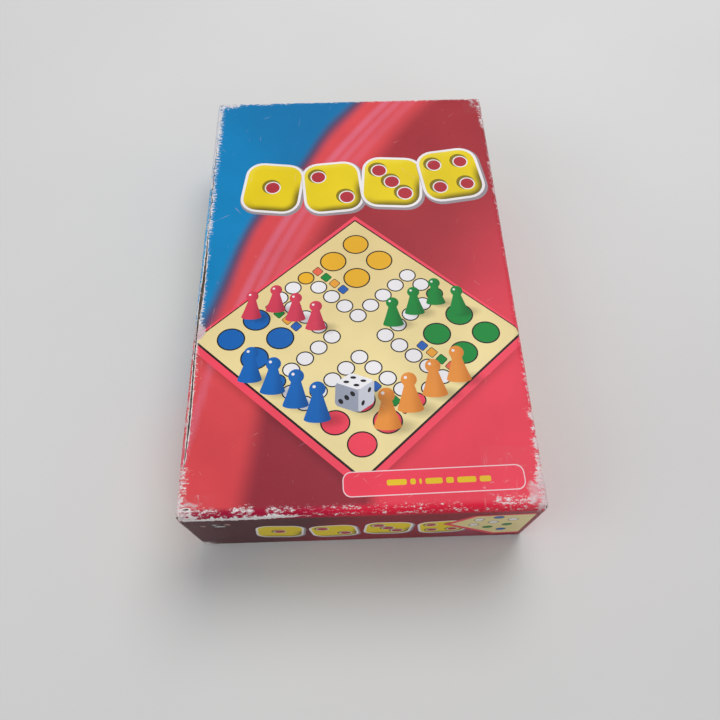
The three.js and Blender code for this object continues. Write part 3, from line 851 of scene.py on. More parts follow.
@dataclass(frozen=True)
class CoverInks:
    """The cover's ground: blue, a streaked red band along a bent diagonal, crimson and bright red, with
    painted light: a highlight on the left fold, and shade and glare on the front wall.
    """

    bend: Point3 = (0.001525, 0.366, -73.2)
    blue: str = "#0f86c2"
    deep_blue: str = "#0d74ac"
    purple: str = "#5b3550"
    red: str = "#de4c52"
    pink: str = "#e2758f"
    crimson: str = "#a6303a"
    bright: str = "#f0475a"
    maroon: str = "#98323f"
    painted_highlight_blue: str = "#45aee4"

    @staticmethod
    def beside(x: Array, y: Array) -> Array:
        """Gives how far points lie to the right of the blue field's bent edge."""
        curve, lean, start = CoverInks.bend
        return (x - (curve * y + lean) * y - start) / np.hypot(1, 2 * curve * y + lean)

    def ground(self, x: Array, y: Array) -> Array:
        """Gives the ground's ink at flat points.

        Args:
            x: Flat places across.
            y: Flat places along.

        Returns:
            Linear colours.
        """
        names = ("blue", "deep_blue", "painted_highlight_blue", "purple", "red", "pink", "crimson", "bright", "maroon")
        inks = dict(zip(names, tones(*(getattr(self, name) for name in names))))
        beside = self.beside(x, y)
        wander = 1.6 * np.sin(y / 17.0) + 0.9 * np.sin(x / 9.0 + y / 31.0)
        base = blend_inks(inks["blue"], inks["deep_blue"], soft_step(x + y * 0.4, -60, 30))
        # Painted highlight: the left fold is painted a lighter blue, as where it catches the light.
        fold_highlight_share = soft_step(-x, 85.0, 86.0) * soft_step(x, -93.0, -89.0)
        base = blend_inks(base, inks["painted_highlight_blue"], fold_highlight_share * 0.8)
        base = blend_inks(base, inks["purple"], soft_step(beside + wander, -4.0, 2.5) * 0.85)
        base = blend_inks(base, inks["red"], soft_step(beside + wander, 0.5, 8.5))
        for middle, half, most in ((16.0, 1.9, 0.62), (22.5, 1.8, 0.5), (29.5, 2.4, 0.26)):
            streak = soft_step(-np.abs(beside - middle), -half * 1.9, -half * 0.4) * most
            base = blend_inks(base, inks["pink"], streak)
        base = blend_inks(base, inks["crimson"], soft_step(beside + 0.5 * wander, 31, 46))
        lit = soft_step(x * 0.75 - y * 0.6, 8, 105)
        base = blend_inks(base, inks["bright"], lit * soft_step(beside, 36, 70))
        low = soft_step(-y, 44, 58) * soft_step(-x, -10, 0)
        base = blend_inks(base, inks["red"], low)
        shade = soft_step(x - 0.13 * y, -46, -33) * low
        base = blend_inks(base, inks["maroon"], shade)
        streak = soft_step(-np.abs(x - 0.19 * y + 65.5), -3.4, -0.6) * low * soft_step(-y, -95, -70) * 0.4
        base = blend_inks(base, inks["pink"], streak)
        down = -y - LID.half_y
        front = soft_step(down, -2.5, 0.0) * (np.abs(x) <= LID.half_x + 0.5)
        # Painted light on the front wall: its crimson print is painted darker as shade, darkest at the left
        # and up under the fold, with a painted pink glare at the right.
        shaded_wall_red, dark, painted_glare_pink = tones("#4a0f1c", "#8c1026", "#ad4c68")
        wall = blend_inks(shaded_wall_red, dark, soft_step(x + (down - 30) * 0.5, -40, 0))
        glare = soft_step(x - down * 0.9, -20, 30) * soft_step(down, 24, 44) * soft_step(-x, -72, -52)
        wall = blend_inks(wall, painted_glare_pink, glare * 0.9)
        fold = blend_inks(*tones("#a3153a", "#e02440"), soft_step(x, -45, 15))
        wall = blend_inks(fold, wall, soft_step(down, 3.6, 5.6))
        return blend_inks(base, wall, front)


@dataclass
class CoverArt:
    """The print on the label sheet: numbered yellow tiles, a cross-track board, pawns, a die and a plate."""

    sheet: PrintedSheet
    board_middle: Point2 = (1.0, -43.0)
    board_half: float = 78.0
    board_stretch: float = 1.12
    pitch_share: float = 0.1165
    die: tuple[float, float, float] = (-2.0, -76.0, 15.0)
    plate_middle: Point2 = (34.5, -123.0)
    plate_bars: tuple[float, ...] = (9.5, 2.6, 1.2, 8.2, 3.6, 9.0, 5.4)
    tiles: tuple[tuple[float, ...], ...] = (
        (-48.5, 62.5, 33, 36, -7, 1), (-12.0, 62.0, 33, 37, 5, 2),
        (24.5, 65.0, 34, 37, -4, 3), (61.0, 70.0, 35, 38, 8, 4))

    def counter_tile(self, x: float, y: float, width: float, height: float, turn: float, pips: int) -> None:
        """Prints one chunky yellow tile with pips, a white outline and rounded shading.

        Args:
            x: Centre.
            y: Centre.
            width: Across.
            height: Along.
            turn: In degrees.
            pips: How many pips it shows.
        """
        scale = width / 33
        outer = 3.2 * scale
        radius = width * 0.27
        c, s = math.cos(math.radians(turn)), math.sin(math.radians(turn))
        lay, (yellow, olive, glow) = self.sheet.lay, tones("#ecd11c", "#6f6113", "#f4e04a")

        def rounded_yellow(px: Array, py: Array) -> Array:
            """Shades the tile darker towards its lower right edge."""
            u = (px - x) * c + (py - y) * s
            v = -(px - x) * s + (py - y) * c
            qx, qy = np.abs(u) - width / 2 + radius, np.abs(v) - height / 2 + radius
            past = np.hypot(np.maximum(qx, 0), np.maximum(qy, 0))
            depth = -(past + np.minimum(np.maximum(qx, qy), 0) - radius)
            facing = u / width * 0.7 - v / height * 1.3
            dark = soft_step(-depth, -5.0 * scale, -0.3 * scale) * soft_step(facing, 0.05, 0.55)
            light = soft_step(-depth, -4.0 * scale, -1.2 * scale) * soft_step(-facing, 0.2, 0.6) * 0.5
            return blend_inks(blend_inks(yellow, olive, dark * 0.95), glow, light)

        lay(tile_outline(x + 0.7 * scale, y - 1.1 * scale, width + outer + 1.6 * scale,
                         height + outer + 1.6 * scale, radius + 2 * scale, turn), "#9d9298")
        lay(tile_outline(x, y, width + outer, height + outer, radius + outer / 2, turn), "#f3eef0")
        for inset in (0.0, 1.2, 2.6, 4.4, 7.0)[:: 1 if scale > 0.8 else 2]:
            inner = 2 * inset * scale
            lay(tile_outline(x, y, width - inner, height - inner, radius - inner / 2, turn), rounded_yellow)
        spread = 0.24
        layouts = {1: [(0, 0)], 2: [(-1, 1), (1, -1)], 3: [(-1, 1), (0, 0), (1, -1)],
                   4: [(-1, 1), (1, 1), (-1, -1), (1, -1)]}
        across = 8.4 * scale if pips < 4 else 7.6 * scale
        for u, v in layouts[pips]:
            px = x + u * spread * width * c - v * spread * height * s
            py = y + u * spread * width * s + v * spread * height * c
            lay(disc(px - 0.9 * scale, py + 0.9 * scale, across + 3.0 * scale), "#8a7a1a")
            lay(disc(px, py, across + 1.4 * scale), "#f3eef0")
            lay(disc(px, py, across), "#b5333f")

    def board_point(self, i: float, j: float) -> Point2:
        """Places a point of the square board, counted in fields from its middle, on the sheet."""
        pitch = self.board_half * math.sqrt(2) * self.pitch_share * 0.7
        u, v = (i - j) / math.sqrt(2) * pitch, (i + j) / math.sqrt(2) * pitch
        return self.board_middle[0] + u * self.board_stretch, self.board_middle[1] + v

    def diamond(self, half: float, drop: float = 0.0) -> Array:
        """Gives the board's outline at a half diagonal, with points along its edges."""
        x, y = self.board_middle
        tips = [(x + half * self.board_stretch, y - drop), (x, y + half - drop * 0.2),
                (x - half * self.board_stretch, y - drop), (x, y - half - drop)]
        points = []
        for a, b in zip(tips, tips[1:] + tips[:1]):
            points += [(a[0] + (b[0] - a[0]) * k / 40, a[1] + (b[1] - a[1]) * k / 40) for k in range(40)]
        return np.array(points)

    def board(self) -> None:
        """Prints the board: drop shadow, red border, black line, cream field, track and homes."""
        lay, (x0, y0) = self.sheet.lay, self.board_middle
        half, stretch = self.board_half, self.board_stretch

        def under(x: Array, y: Array) -> Array:
            """Darkens the ground below the lower edges."""
            away = np.abs(x - x0) / stretch + np.abs(y - y0 + 3.0) - half
            dark = soft_step(-away, -11.0, 1.0) * soft_step(y0 - y, -2.0, 22.0)
            return (1 - 0.42 * dark)[..., None]

        for grow, ink in ((12.0, under), (9.5, no_shade), (7.0, no_shade)):
            lay(self.diamond(half + grow, 1.5), ink, shade=True)
        lay(self.diamond(half + 4.2, 2.2), "#f84e64")
        lay(self.diamond(half + 1.0, 0.4), "#2a1a1c")
        cream, tan = tones("#f4e1a4", "#ebd497")
        lay(self.diamond(half - 0.2), lambda x, y: blend_inks(cream, tan, soft_step(y, -80, 20)))
        for i, j, code in cross_track(False, "#f2eff2", HOME_INKS):
            x, y = self.board_point(i, j)
            lay(disc(x, y, 9.6, 8.6), LINE)
            lay(disc(x, y, 8.2, 7.2), code)
        for (a, b), code in zip(HOMES, HOME_INKS):
            for u in (-0.92, 0.92):
                for v in (-0.92, 0.92):
                    x, y = self.board_point(a * 3.86 + u, b * 3.86 + v)
                    lay(disc(x, y, 15.2, 13.6, 32), LINE)
                    lay(disc(x, y, 13.7, 12.1, 32), code)
        for a, b in ((1, 1), (-1, 1), (1, -1), (-1, -1)):
            for k, code in enumerate(("#2b62b8", "#efa63c", "#128a3a", "#ee6a4c")):
                x, y = self.board_point(a * 1.8, b * (2.9 + 0.66 * k))
                lay(tile_outline(x, y, 4.9, 4.9, 0.9, 45), LINE)
                lay(tile_outline(x, y, 4.2, 4.2, 0.7, 45), code)

    def pawn(self, x: float, y: float, tall: float, code: str, dark: str) -> None:
        """Prints one standing pawn with a highlight and a soft shadow.

        Args:
            x: Middle of the foot.
            y: Bottom of the foot.
            tall: Height on the sheet.
            code: Its colour.
            dark: The colour of its shaded side.
        """
        lay, (lit, deep) = self.sheet.lay, tones(code, dark)
        wide, head = tall * 0.3, tall * 0.185

        def cast(px: Array, py: Array) -> Array:
            """Fades the cast shadow outwards."""
            away = np.hypot((px - x - wide * 0.8) / (wide * 1.7), (py - y - wide * 0.25) / (wide * 0.8))
            return (1 - 0.4 * soft_step(-away, -1.0, -0.2))[..., None]

        for share, ink in ((1.0, cast), (0.6, no_shade)):
            fallen = disc(x + wide * 0.8, y + wide * 0.25, wide * 3.4 * share, wide * 1.6 * share)
            lay(fallen, ink, shade=True)
        foot, ball = np.linspace(-math.pi / 2, 0, 6), np.linspace(-0.8, math.pi / 2, 9)
        half = [(wide * math.cos(a), wide * (0.3 + 0.3 * math.sin(a))) for a in foot]
        half += [(wide * (1 - 0.6 * t**0.85), tall * (0.12 + 0.55 * t)) for t in np.linspace(0.1, 1, 8)]
        half += [(head * math.cos(a), tall - head + head * math.sin(a)) for a in ball]
        right = [(x + a, y + b) for a, b in half]
        left = [(x - a, y + b) for a, b in reversed(half[1:-1])]
        lay(np.array(right + left),
            lambda px, py: blend_inks(lit, deep, soft_step((px - x) / wide, -0.1, 0.9) * 0.7))
        lay(disc(x - head * 0.4, y + tall - head * 0.7, head * 0.42, steps=8), "#f6eef0")

    def pawns(self) -> None:
        """Prints four clusters of pawns, nearer ones larger and over farther ones."""
        clusters = (
            (("#d9415a", "#9c2340"), ((-44, -27), (-33, -33), (-22, -39), (-57, -31))),
            (("#12893a", "#0a5c26"), ((20, -38), (32, -31), (44, -25), (56, -31))),
            (("#1668bb", "#0c4484"), ((-44, -76), (-32, -84), (-56, -69), (-21, -92))),
            (("#ee9641", "#c26c22"), ((26, -88), (39, -80), (52, -72), (14, -97))),
        )
        standing = [(y, x, inks) for inks, spots in clusters for x, y in spots]
        for y, x, (code, dark) in sorted(standing, reverse=True):
            self.pawn(float(x), float(y), 17.5 + (-y - 20) * 0.075, code, dark)

    def printed_die(self, x: float, y: float, side: float) -> None:
        """Prints a grey and white die seen from above one corner.

        Args:
            x: Centre.
            y: Centre.
            side: Length of its edge on the sheet.
        """
        lay = self.sheet.lay

        def cast(px: Array, py: Array) -> Array:
            """Fades the cast shadow outwards."""
            away = np.hypot((px - x - side * 0.55) / (side * 1.05), (py - y + side * 0.35) / (side * 0.75))
            return (1 - 0.45 * soft_step(-away, -1.0, -0.3))[..., None]

        lay(disc(x + side * 0.55, y - side * 0.35, side * 2.1, side * 1.5), cast, shade=True)
        a, b, up = np.array([(0.78, -0.30), (0.55, 0.36), (0.03, 0.84)]) * side
        foot = np.array([x, y]) - (a + b + up) / 2
        faces = ((foot, a, up, "#9aa0b0", 3), (foot + a, b, up, "#c9ccd6", 2),
                 (foot + up, a, b, "#f1f0f3", 4))
        layouts = {2: [(.3, .3), (.7, .7)], 3: [(.25, .25), (.5, .5), (.75, .75)],
                   4: [(.28, .28), (.28, .72), (.72, .28), (.72, .72)]}
        turns = (foot, foot + a, foot + a + b, foot + a + b + up, foot + b + up, foot + up)
        centre = (a + b + up) / 2
        lay(np.array([foot + centre + (p - foot - centre) * 0.95 for p in turns]), "#b4b9c6")
        for corner, e, f, code, pips in faces:
            rim = []
            for p, q in (((.1, 0), (.9, 0)), ((1, .1), (1, .9)), ((.9, 1), (.1, 1)), ((0, .9), (0, .1))):
                rim += [corner + e * p[0] + f * p[1], corner + e * q[0] + f * q[1]]
            lay(np.array(rim), code)
            for s, t in layouts[pips]:
                turn = np.arange(14)[:, None] * math.tau / 14
                middle = corner + e * s + f * t
                lay(middle + e * np.cos(turn) * 0.11 + f * np.sin(turn) * 0.11, "#1a1a22")

    def plate(self) -> None:
        """Prints the rounded plate with its white line and a row of short yellow bars."""
        lay = self.sheet.lay
        lay(tile_outline(*self.plate_middle, 87.0, 12.4, 4.2, 1.0), "#f6d3d8")
        lay(tile_outline(*self.plate_middle, 86.0, 11.4, 3.8, 1.0), "#f6465c")
        place = 12.0
        for width in self.plate_bars:
            bar = tile_outline(place + width / 2, -123.4 + 0.012 * place, width, 2.8, 0.9, 1.0)
            lay(bar, "#ecc52b")
            place += width + 1.7

    def wall_art(self, side: LidSide) -> None:
        """Prints a wall: a row of tiles, and a strip of the board at its right-hand end.

        Args:
            side: Which wall.
        """
        sy = side.value[1]
        turn = {LidSide.FRONT: 0.0, LidSide.RIGHT: 90.0, LidSide.BACK: 180.0, LidSide.LEFT: -90.0}[side]
        reach = LID.half_x if sy else LID.half_y
        middle = LID.down_to(27.0)
        c, s = math.cos(math.radians(turn)), math.sin(math.radians(turn))
        edge = LID.half_y if sy else LID.half_x

        def at(u: float, v: float) -> Point2:
            """Places a point of the wall, seen from outside with v upwards, on the sheet."""
            down = -(edge + middle - v)
            return (u * c - down * s, u * s + down * c)

        first, gap = (-42.0, 27.5) if sy else (-75.0, 31.0)
        for k in range(4):
            x, y = at(first + k * gap, (1.0, -1.5, 1.5, 0.5)[k])
            self.counter_tile(x, y, 22.0, 24.0, turn + (-6, 5, -4, 7)[k], k + 1)
        right = reach - 1.0
        for code, tips in (("#e8455d", ((-43, 6), (-30, 22.5), (0, 24.5), (0, -20), (-14, -21))),
                           ("#e9d99b", ((-39, 6), (-28, 21), (0, 22.7), (0, -17), (-13, -18)))):
            self.sheet.lay(np.array([at(right + u, v) for u, v in tips]), code)
        spots = ((-26, 14), (-18, 8), (-10, 2), (-17, 18), (-9, 13), (-27, 3), (-19, -3), (-11, -9))
        for k, (u, v) in enumerate(spots):
            x, y = at(right + u, v)
            self.sheet.ring(x, y, 5.4, ("#f2eff2", "#f2eff2", "#128a3a", "#1766b8")[k % 4], weight=0.4)

    def print_all(self) -> None:
        """Prints the whole sheet, from the ground up."""
        self.board()
        self.pawns()
        self.printed_die(*self.die)
        for tile in self.tiles:
            self.counter_tile(*tile)
        self.plate()
        for side in LidSide:
            self.wall_art(side)


@dataclass(frozen=True)
class Rub:
    """A worn stretch beside a top fold: its ends, its reach, its strength and its distance off the ridge."""

    side: LidSide
    start: float
    end: float
    reach: float
    amount: float
    inset: float = 0.0


# Read off the photograph along the left, right, front and back folds
RUBS = [Rub(LidSide[side], *numbers) for side, *numbers in (
    ("LEFT", 102, 138, 5.8, 0.82), ("LEFT", 62, 104, 4.8, 0.84), ("LEFT", 28, 66, 4.2, 0.74, 0.8),
    ("LEFT", -12, 32, 3.6, 0.62, 0.8), ("LEFT", -44, -10, 4.0, 0.74, 0.8), ("LEFT", -66, -44, 3.4, 0.62, 0.8),
    ("LEFT", -114, -66, 3.4, 0.54, 0.8), ("LEFT", -138, -112, 5.4, 0.74), ("RIGHT", -138, -117, 6.4, 0.78),
    ("RIGHT", -117, -110, 4.4, 0.7), ("RIGHT", -109, -101, 4.2, 0.7), ("RIGHT", -101, -96, 3.2, 0.62),
    ("RIGHT", -95, -86, 4.0, 0.68), ("RIGHT", -86, -60, 2.4, 0.5), ("RIGHT", 52, 82, 2.8, 0.5),
    ("RIGHT", 108, 138, 3.8, 0.62), ("BACK", -88, -72, 6.0, 0.86), ("BACK", -72, -50, 3.6, 0.66),
    ("BACK", -50, 88, 2.6, 0.58), ("FRONT", -84, -66, 3.0, 0.56, 2.3), ("FRONT", -62, -50, 3.6, 0.6, 2.3),
    ("FRONT", -45, -31, 3.0, 0.52, 2.2), ("FRONT", -31, -21, 3.0, 0.46, 2.4),
    ("FRONT", -20, 0, 3.2, 0.42, 2.3), ("FRONT", 2, 48, 3.4, 0.36, 2.2), ("FRONT", 62, 82, 4.6, 0.56, 3.2),
    ("FRONT", 53, 63, 1.3, 0.6, -0.01), ("FRONT", -88, -76, 3.2, 0.7),
)]
# The worn corners: side across, side along, height, strength and width of the fall-off
CORNERS = ((-1, 1, 60.0, 1.0, 3.4), (-1, -1, 60.0, 0.92, 3.0), (1, -1, 60.0, 0.9, 3.2),
           (1, 1, 60.0, 0.9, 2.6), (-1, -1, 1.2, 1.25, 5.5), (1, -1, 1.2, 0.8, 2.6),
           (-1, 1, 1.2, 0.8, 2.6), (1, 1, 1.2, 0.8, 2.6))
# Scrapes on the front wall: place across, down the sheet, width, height, colour and cover
SCRAPES = ((-69.8, -152.0, 8.2, 8.0, "#261a1b", 1.0), (-69.4, -153.2, 5.4, 1.5, "#e9e1dc", 0.0),
           (-71.2, -149.4, 2.4, 1.1, "#e9e1dc", 0.0), (-77.2, -151.6, 2.6, 2.6, "#a8857b", 1.0),
           (-65.1, -149.4, 3.0, 3.0, "#a8857b", 1.0))


@dataclass
class Lid:
    """The lid: the printed sheet with its split and wear, clear tape, torn fibres and the dressed board."""

    form: LidForm = LID
    paper: float = 0.2
    split_front: float = -115.0
    split_back: float = 33.0
    crease_back: float = 106.0
    split_width: float = 1.0
    split_gape: float = 1.1
    gape_middle: float = -16.0
    gape_spread: float = 17.0
    split_lean: float = 25.0
    split_margin: float = 0.4
    split_shift: float = 0.5
    split_rows: int = 110
    fine_box: tuple[float, float, float, float] = (-88.6, -118.0, -85.2, 36.0)
    tear_start: float = -84.0
    tear_step: float = 0.72
    tear_rows: int = 78
    tear_down: float = 4.2
    flake: Point2 = (-82.4, -133.4)
    edge_round: float = 1.2
    sag: float = 0.16
    film: float = 0.05
    film_gap: float = 0.05
    fibre_count: int = 900
    fibre_rise: float = 0.05
    fibre_limit: float = 0.12

    @property
    def split_across(self) -> float:
        """Where the tear lies across the unfolded sheet: a little inside the split in the board."""
        return -(self.form.half_x + self.form.fold * math.radians(self.split_lean)) + self.split_shift

    @property
    def middle_of_split(self) -> float:
        """The middle of the tear along the fold."""
        return (self.split_front + self.split_back) / 2

    def split_outline(self, grow: float, seed: float) -> Array:
        """Gives the ragged outline of the tear along the left fold."""
        run = self.split_back - self.split_front + 2 * grow
        sides: list[list[Point2]] = [[], []]
        for k in range(1, self.split_rows):
            share = k / self.split_rows
            y = self.split_front - grow + share * run
            drift = 0.5 * math.sin(share * 3 * math.pi)
            wide = self.split_gape * math.exp(-(((y - self.gape_middle) / self.gape_spread) ** 2))
            wide += self.split_width
            half = (wide / 2 + grow) * min(1.0, 2.2 * math.sin(share * math.pi)) ** 0.6
            for side, way in ((0, 1), (1, -1)):
                ragged = 0.55 * (ripple(y * 0.33, seed + side * 9, 0) + 0.5
                                 * ripple(y * 1.1, seed + side * 9, 4))
                reach = max(0.12, half + ragged * (0.6 + 2 * grow))
                sides[side].append((self.split_across + drift + way * reach, y))
        tips = [(self.split_across, y) for y in (self.split_front - grow - 0.4, self.split_back + grow + 0.4)]
        return np.array([tips[0], *sides[0], tips[1], *reversed(sides[1])])

    def crease_outline(self) -> Array:
        """Gives the thin crease, painted dark as shade, that runs on from the tear towards the back."""
        ys = np.linspace(self.split_back - 1, self.crease_back, 90)
        wander = np.array([ripple(y * 0.16, 7.0, 0.0) for y in ys])
        fine = np.array([ripple(y * 0.9, 4.0, 0.0) for y in ys])
        x = self.split_across + 0.9 * wander
        half = np.maximum(0.3 * np.sin(np.linspace(0.5, math.pi, 90)) + 0.25 * fine, 0.06)
        return np.concatenate([np.stack([x + half, ys], 1), np.stack([x - half, ys], 1)[::-1]])

    def tear_outline(self) -> Array:
        """Gives the ragged white tear under the front fold, at the left."""
        low, high = [], []
        for k in range(self.tear_rows):
            x = self.tear_start + k * self.tear_step
            down = self.tear_down + 0.8 * ripple(x * 0.11, 3.0, 0.0) - 1.6 * max(0.0, (x + 60) / 32)
            half = (0.8 + 2.8 * abs(ripple(x * 0.45, 8.0, 0.0))) * min(1, (self.tear_rows - k) / 18)
            low.append((x, -self.form.half_y - down - half - 0.08))
            high.append((x, -self.form.half_y - down + half + 0.05))
        return np.array(low + high[::-1])

    def wear_at(self, spots: Array) -> Array:
        """Gives how far the print is rubbed away at points on the lid.

        Args:
            spots: Points in space.

        Returns:
            The wear, from none at 0 to worn through at about 1.
        """
        x, y, z = spots.T
        dx, dy = self.form.width / 2 - np.abs(x), self.form.length / 2 - np.abs(y)
        dz, dr = self.form.height - z, z - self.form.rim
        ridges = {True: np.hypot(dx, dz) - self.edge_round, False: np.hypot(dy, dz) - self.edge_round}

        def rub(away: Array, most: Array | float, width: Array | float) -> Array:
            """Falls off from a fold."""
            return most * np.exp(-np.maximum(away, 0) / width)

        strip = (x < 0) * (dz > dx) * soft_step(-np.abs(y - self.middle_of_split), -76, -68)
        wear = np.maximum.reduce([rub(ridges[True], 0.42, 1.1) * (1 - 0.7 * strip),
                                  rub(ridges[False], 0.46, 1.2), rub(dr, 0.5, 1.2),
                                  rub(np.hypot(dx, dy) - 1.0, 0.58, 1.4)])
        for stretch in RUBS:
            sx, sy = stretch.side.value
            along, across = (y, x * sx) if sx else (x, y * sy)
            soft = min(4.0, (stretch.end - stretch.start) / 2)
            held = soft_step(along, stretch.start - soft / 2, stretch.start + soft / 2)
            held = held * soft_step(-along, -stretch.end - soft / 2, -stretch.end + soft / 2) * (across > 0)
            away = np.abs(ridges[bool(sx)] - stretch.inset)
            fall = np.clip(1.15 - away / stretch.reach, 0, 1) * ((stretch.inset == 0) | (dz < 0.4))
            wear = np.maximum(wear, stretch.amount * held * fall)
        for sx, sy, z0, most, width in CORNERS:
            across, along = x - sx * self.form.width / 2, y - sy * self.form.length / 2
            away = np.hypot(np.hypot(across, along), z - z0) - 1.5
            wear = np.maximum(wear, rub(away, most, width))
        patchy = np.array([0.95 + 0.3 * noise.noise(Vector(p) / 7.5) + 0.2 * noise.noise(Vector(p) / 2.7)
                           for p in spots])
        return np.clip(wear * patchy, 0, 1.3) * (dr > -0.01)

    def label(self) -> Piece:
        """Makes the printed label sheet, folded over the lid, split and worn."""
        form = self.form
        art = CoverArt(PrintedSheet(CoverInks().ground))
        art.print_all()
        for seed, (x, y, across, tall, code, cover) in enumerate(SCRAPES, 20):
            ragged = np.random.default_rng(seed).uniform(-0.14, 0.14, (16, 2)) * min(across, tall)
            art.sheet.lay(disc(x, y, across, tall, 16) + ragged, code, cover=cover)
        art.sheet.lay(self.tear_outline(), "#efe8e4", cover=0.0)
        # The crease is painted near-black, as the shade in it.
        art.sheet.lay(self.crease_outline(), "#3a302c", cover=2.0)
        art.sheet.lay(self.split_outline(self.split_margin, 2.0), "#e9e1dc", cover=0.0)
        art.sheet.lay(self.split_outline(0.0, 5.0), None)
        flake_rings = ((8, 5.0, 2.2, 14, 0.35, "#e9e1dc"), (9, 3.3, 1.0, 12, 0.2, None))
        for seed, across, tall, steps, rough, code in flake_rings:
            ragged = np.random.default_rng(seed).uniform(-rough, rough, (steps, 2))
            art.sheet.lay(disc(*self.flake, across, tall, steps) + ragged, code, cover=0.0)
        flat, triangles, ink = art.sheet.cut(form.border(), form.grid([self.fine_box]))
        spots = form.folded(flat)
        points, faces, inks = [spots], [tuple(t) for t in triangles], [ink.reshape(-1, 4)]
        start = len(spots)
        ground = CoverInks().ground
        for sx in (-1, 1):
            for sy in (-1, 1):
                rows, flats = form.corner_rows(sx, sy)
                count = rows.shape[1]
                colours = ground(flats[..., 0], flats[..., 1])
                for r in range(rows.shape[0] - 1):
                    for k in range(count - 1):
                        loop = [(r, k), (r + 1, k), (r + 1, k + 1), (r, k + 1)]
                        loop = loop if sx * sy > 0 else loop[::-1]
                        faces.append(tuple(start + a * count + b for a, b in loop))
                        tone = colours[r, k]
                        inks.append(np.tile([*tone, 1.0], (4, 1)))
                points.append(rows.reshape(-1, 3))
                start += rows.shape[0] * count
        piece = make_piece("lid_printed_label", np.concatenate(points), faces, LID_PAPER)
        set_ink(piece.data, np.concatenate(inks))
        clean_up(piece)
        places = places_of(piece.data)
        set_wear(piece.data, self.wear_at(places))
        self.settle(piece, places)
        return piece

    def settle(self, piece: Piece, places: Array) -> None:
        """Lets the sheet wave, sink at its middle, wear round at its corners and lift along the tear."""
        form = self.form
        x, y, z = places.T
        dx, dy, dz = form.width / 2 - np.abs(x), form.length / 2 - np.abs(y), form.height - z
        wave = np.array([ripple(p[0] / 31, p[1] / 43, p[2] / 27) for p in places])
        fine = np.array([noise.noise(Vector(p) / 6.0) for p in places])
        inward = self.sag * (0.55 + 0.45 * wave) * soft_step(np.minimum(dx, dy), 2.0, 30.0)
        inward += 0.03 * (1 + fine)
        tip = np.sqrt(dx**2 + dy**2 + dz**2) - 1.6
        inward += 0.42 * np.exp(-np.maximum(tip, 0) / 1.8) * (0.8 + 0.5 * fine)
        fold = np.hypot(dx, dz) - self.edge_round
        inward += 0.12 * np.exp(-np.maximum(fold, 0) / 1.2) * (0.7 + 0.7 * fine)
        ridge = np.hypot(dx, dz) - 1.24
        torn = (x < 0) * (y > self.split_front) * (y < self.split_back) * np.exp(-np.maximum(ridge, 0) / 1.3)
        inward -= torn * (0.34 + 0.3 * fine) * np.where(dz > dx, 1.0, 0.45)
        inward *= (z > form.rim + 1.0) | (dx < 1.0) | (dy < 1.0)
        turned_in = (dx > 1.5) & (dy > 1.5) & (z < form.height - form.fold - 0.5)
        inward = np.where(turned_in, 0.0, inward)
        move_points(piece.data, places - normals_of(piece.data) * inward[:, None])

    def tape(self, label: Piece, spot: str, cuts: Sequence[tuple[Point3, Point3]],
             pockets: Sequence[tuple[Point3, float, float]]) -> None:
        """Makes one strip of clear tape that follows the label.

        Args:
            label: The label sheet, while it is one skin.
            spot: Where it is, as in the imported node's name.
            cuts: A point and a direction for each straight edge; what lies that way is cut off.
            pockets: Centre, radius and haze of each pocket of air.
        """
        work = bmesh.new()
        work.from_mesh(label.data)
        for point, way in (*cuts, ((0, 0, 6.0), (0, 0, -1))):
            bmesh.ops.bisect_plane(work, geom=[*work.verts, *work.edges, *work.faces], dist=1e-7,
                                   plane_co=Vector(point) * MM, plane_no=Vector(way), clear_outer=True)
        reach_x, reach_y = (self.form.width / 2 - 1.5) * MM, (self.form.length / 2 - 1.5) * MM
        middles = ((f, f.calc_center_median()) for f in work.faces)
        turned_in = [f for f, c in middles if abs(c.x) < reach_x and abs(c.y) < reach_y and c.z < 0.05]
        bmesh.ops.delete(work, geom=turned_in, context="FACES")
        bmesh.ops.holes_fill(work, edges=[e for e in work.edges if e.is_boundary], sides=14)
        work.normal_update()
        for v in work.verts:
            place = v.co / MM
            rise = self.film_gap + 0.035 * (1 + noise.noise(place / 5.0))
            ridge = 0.05 * max(0.0, ripple(place.x / 2.2, place.y / 9.0, place.z / 3.0) - 0.1)
            v.co += v.normal * (rise + ridge) * MM
        mesh = bpy.data.meshes.new("tape_film_" + spot)
        work.to_mesh(mesh)
        work.free()
        mesh.materials.clear()
        mesh.materials.append(CLEAR_TAPE.material())
        mesh.color_attributes.remove(mesh.color_attributes["print"])
        strip = stand(mesh.name, mesh)
        places = places_of(mesh)
        haze = np.zeros(len(places))
        for centre, radius, most in pockets:
            away = np.linalg.norm(places - np.array(centre), axis=1)
            haze = np.maximum(haze, most * soft_step(-away, -radius, -radius * 0.45))
        set_wear(mesh, haze)
        give_thickness(strip, self.film, outward=True)
        smooth(strip)
        place_piece(strip, "lid", ["tape_" + spot])

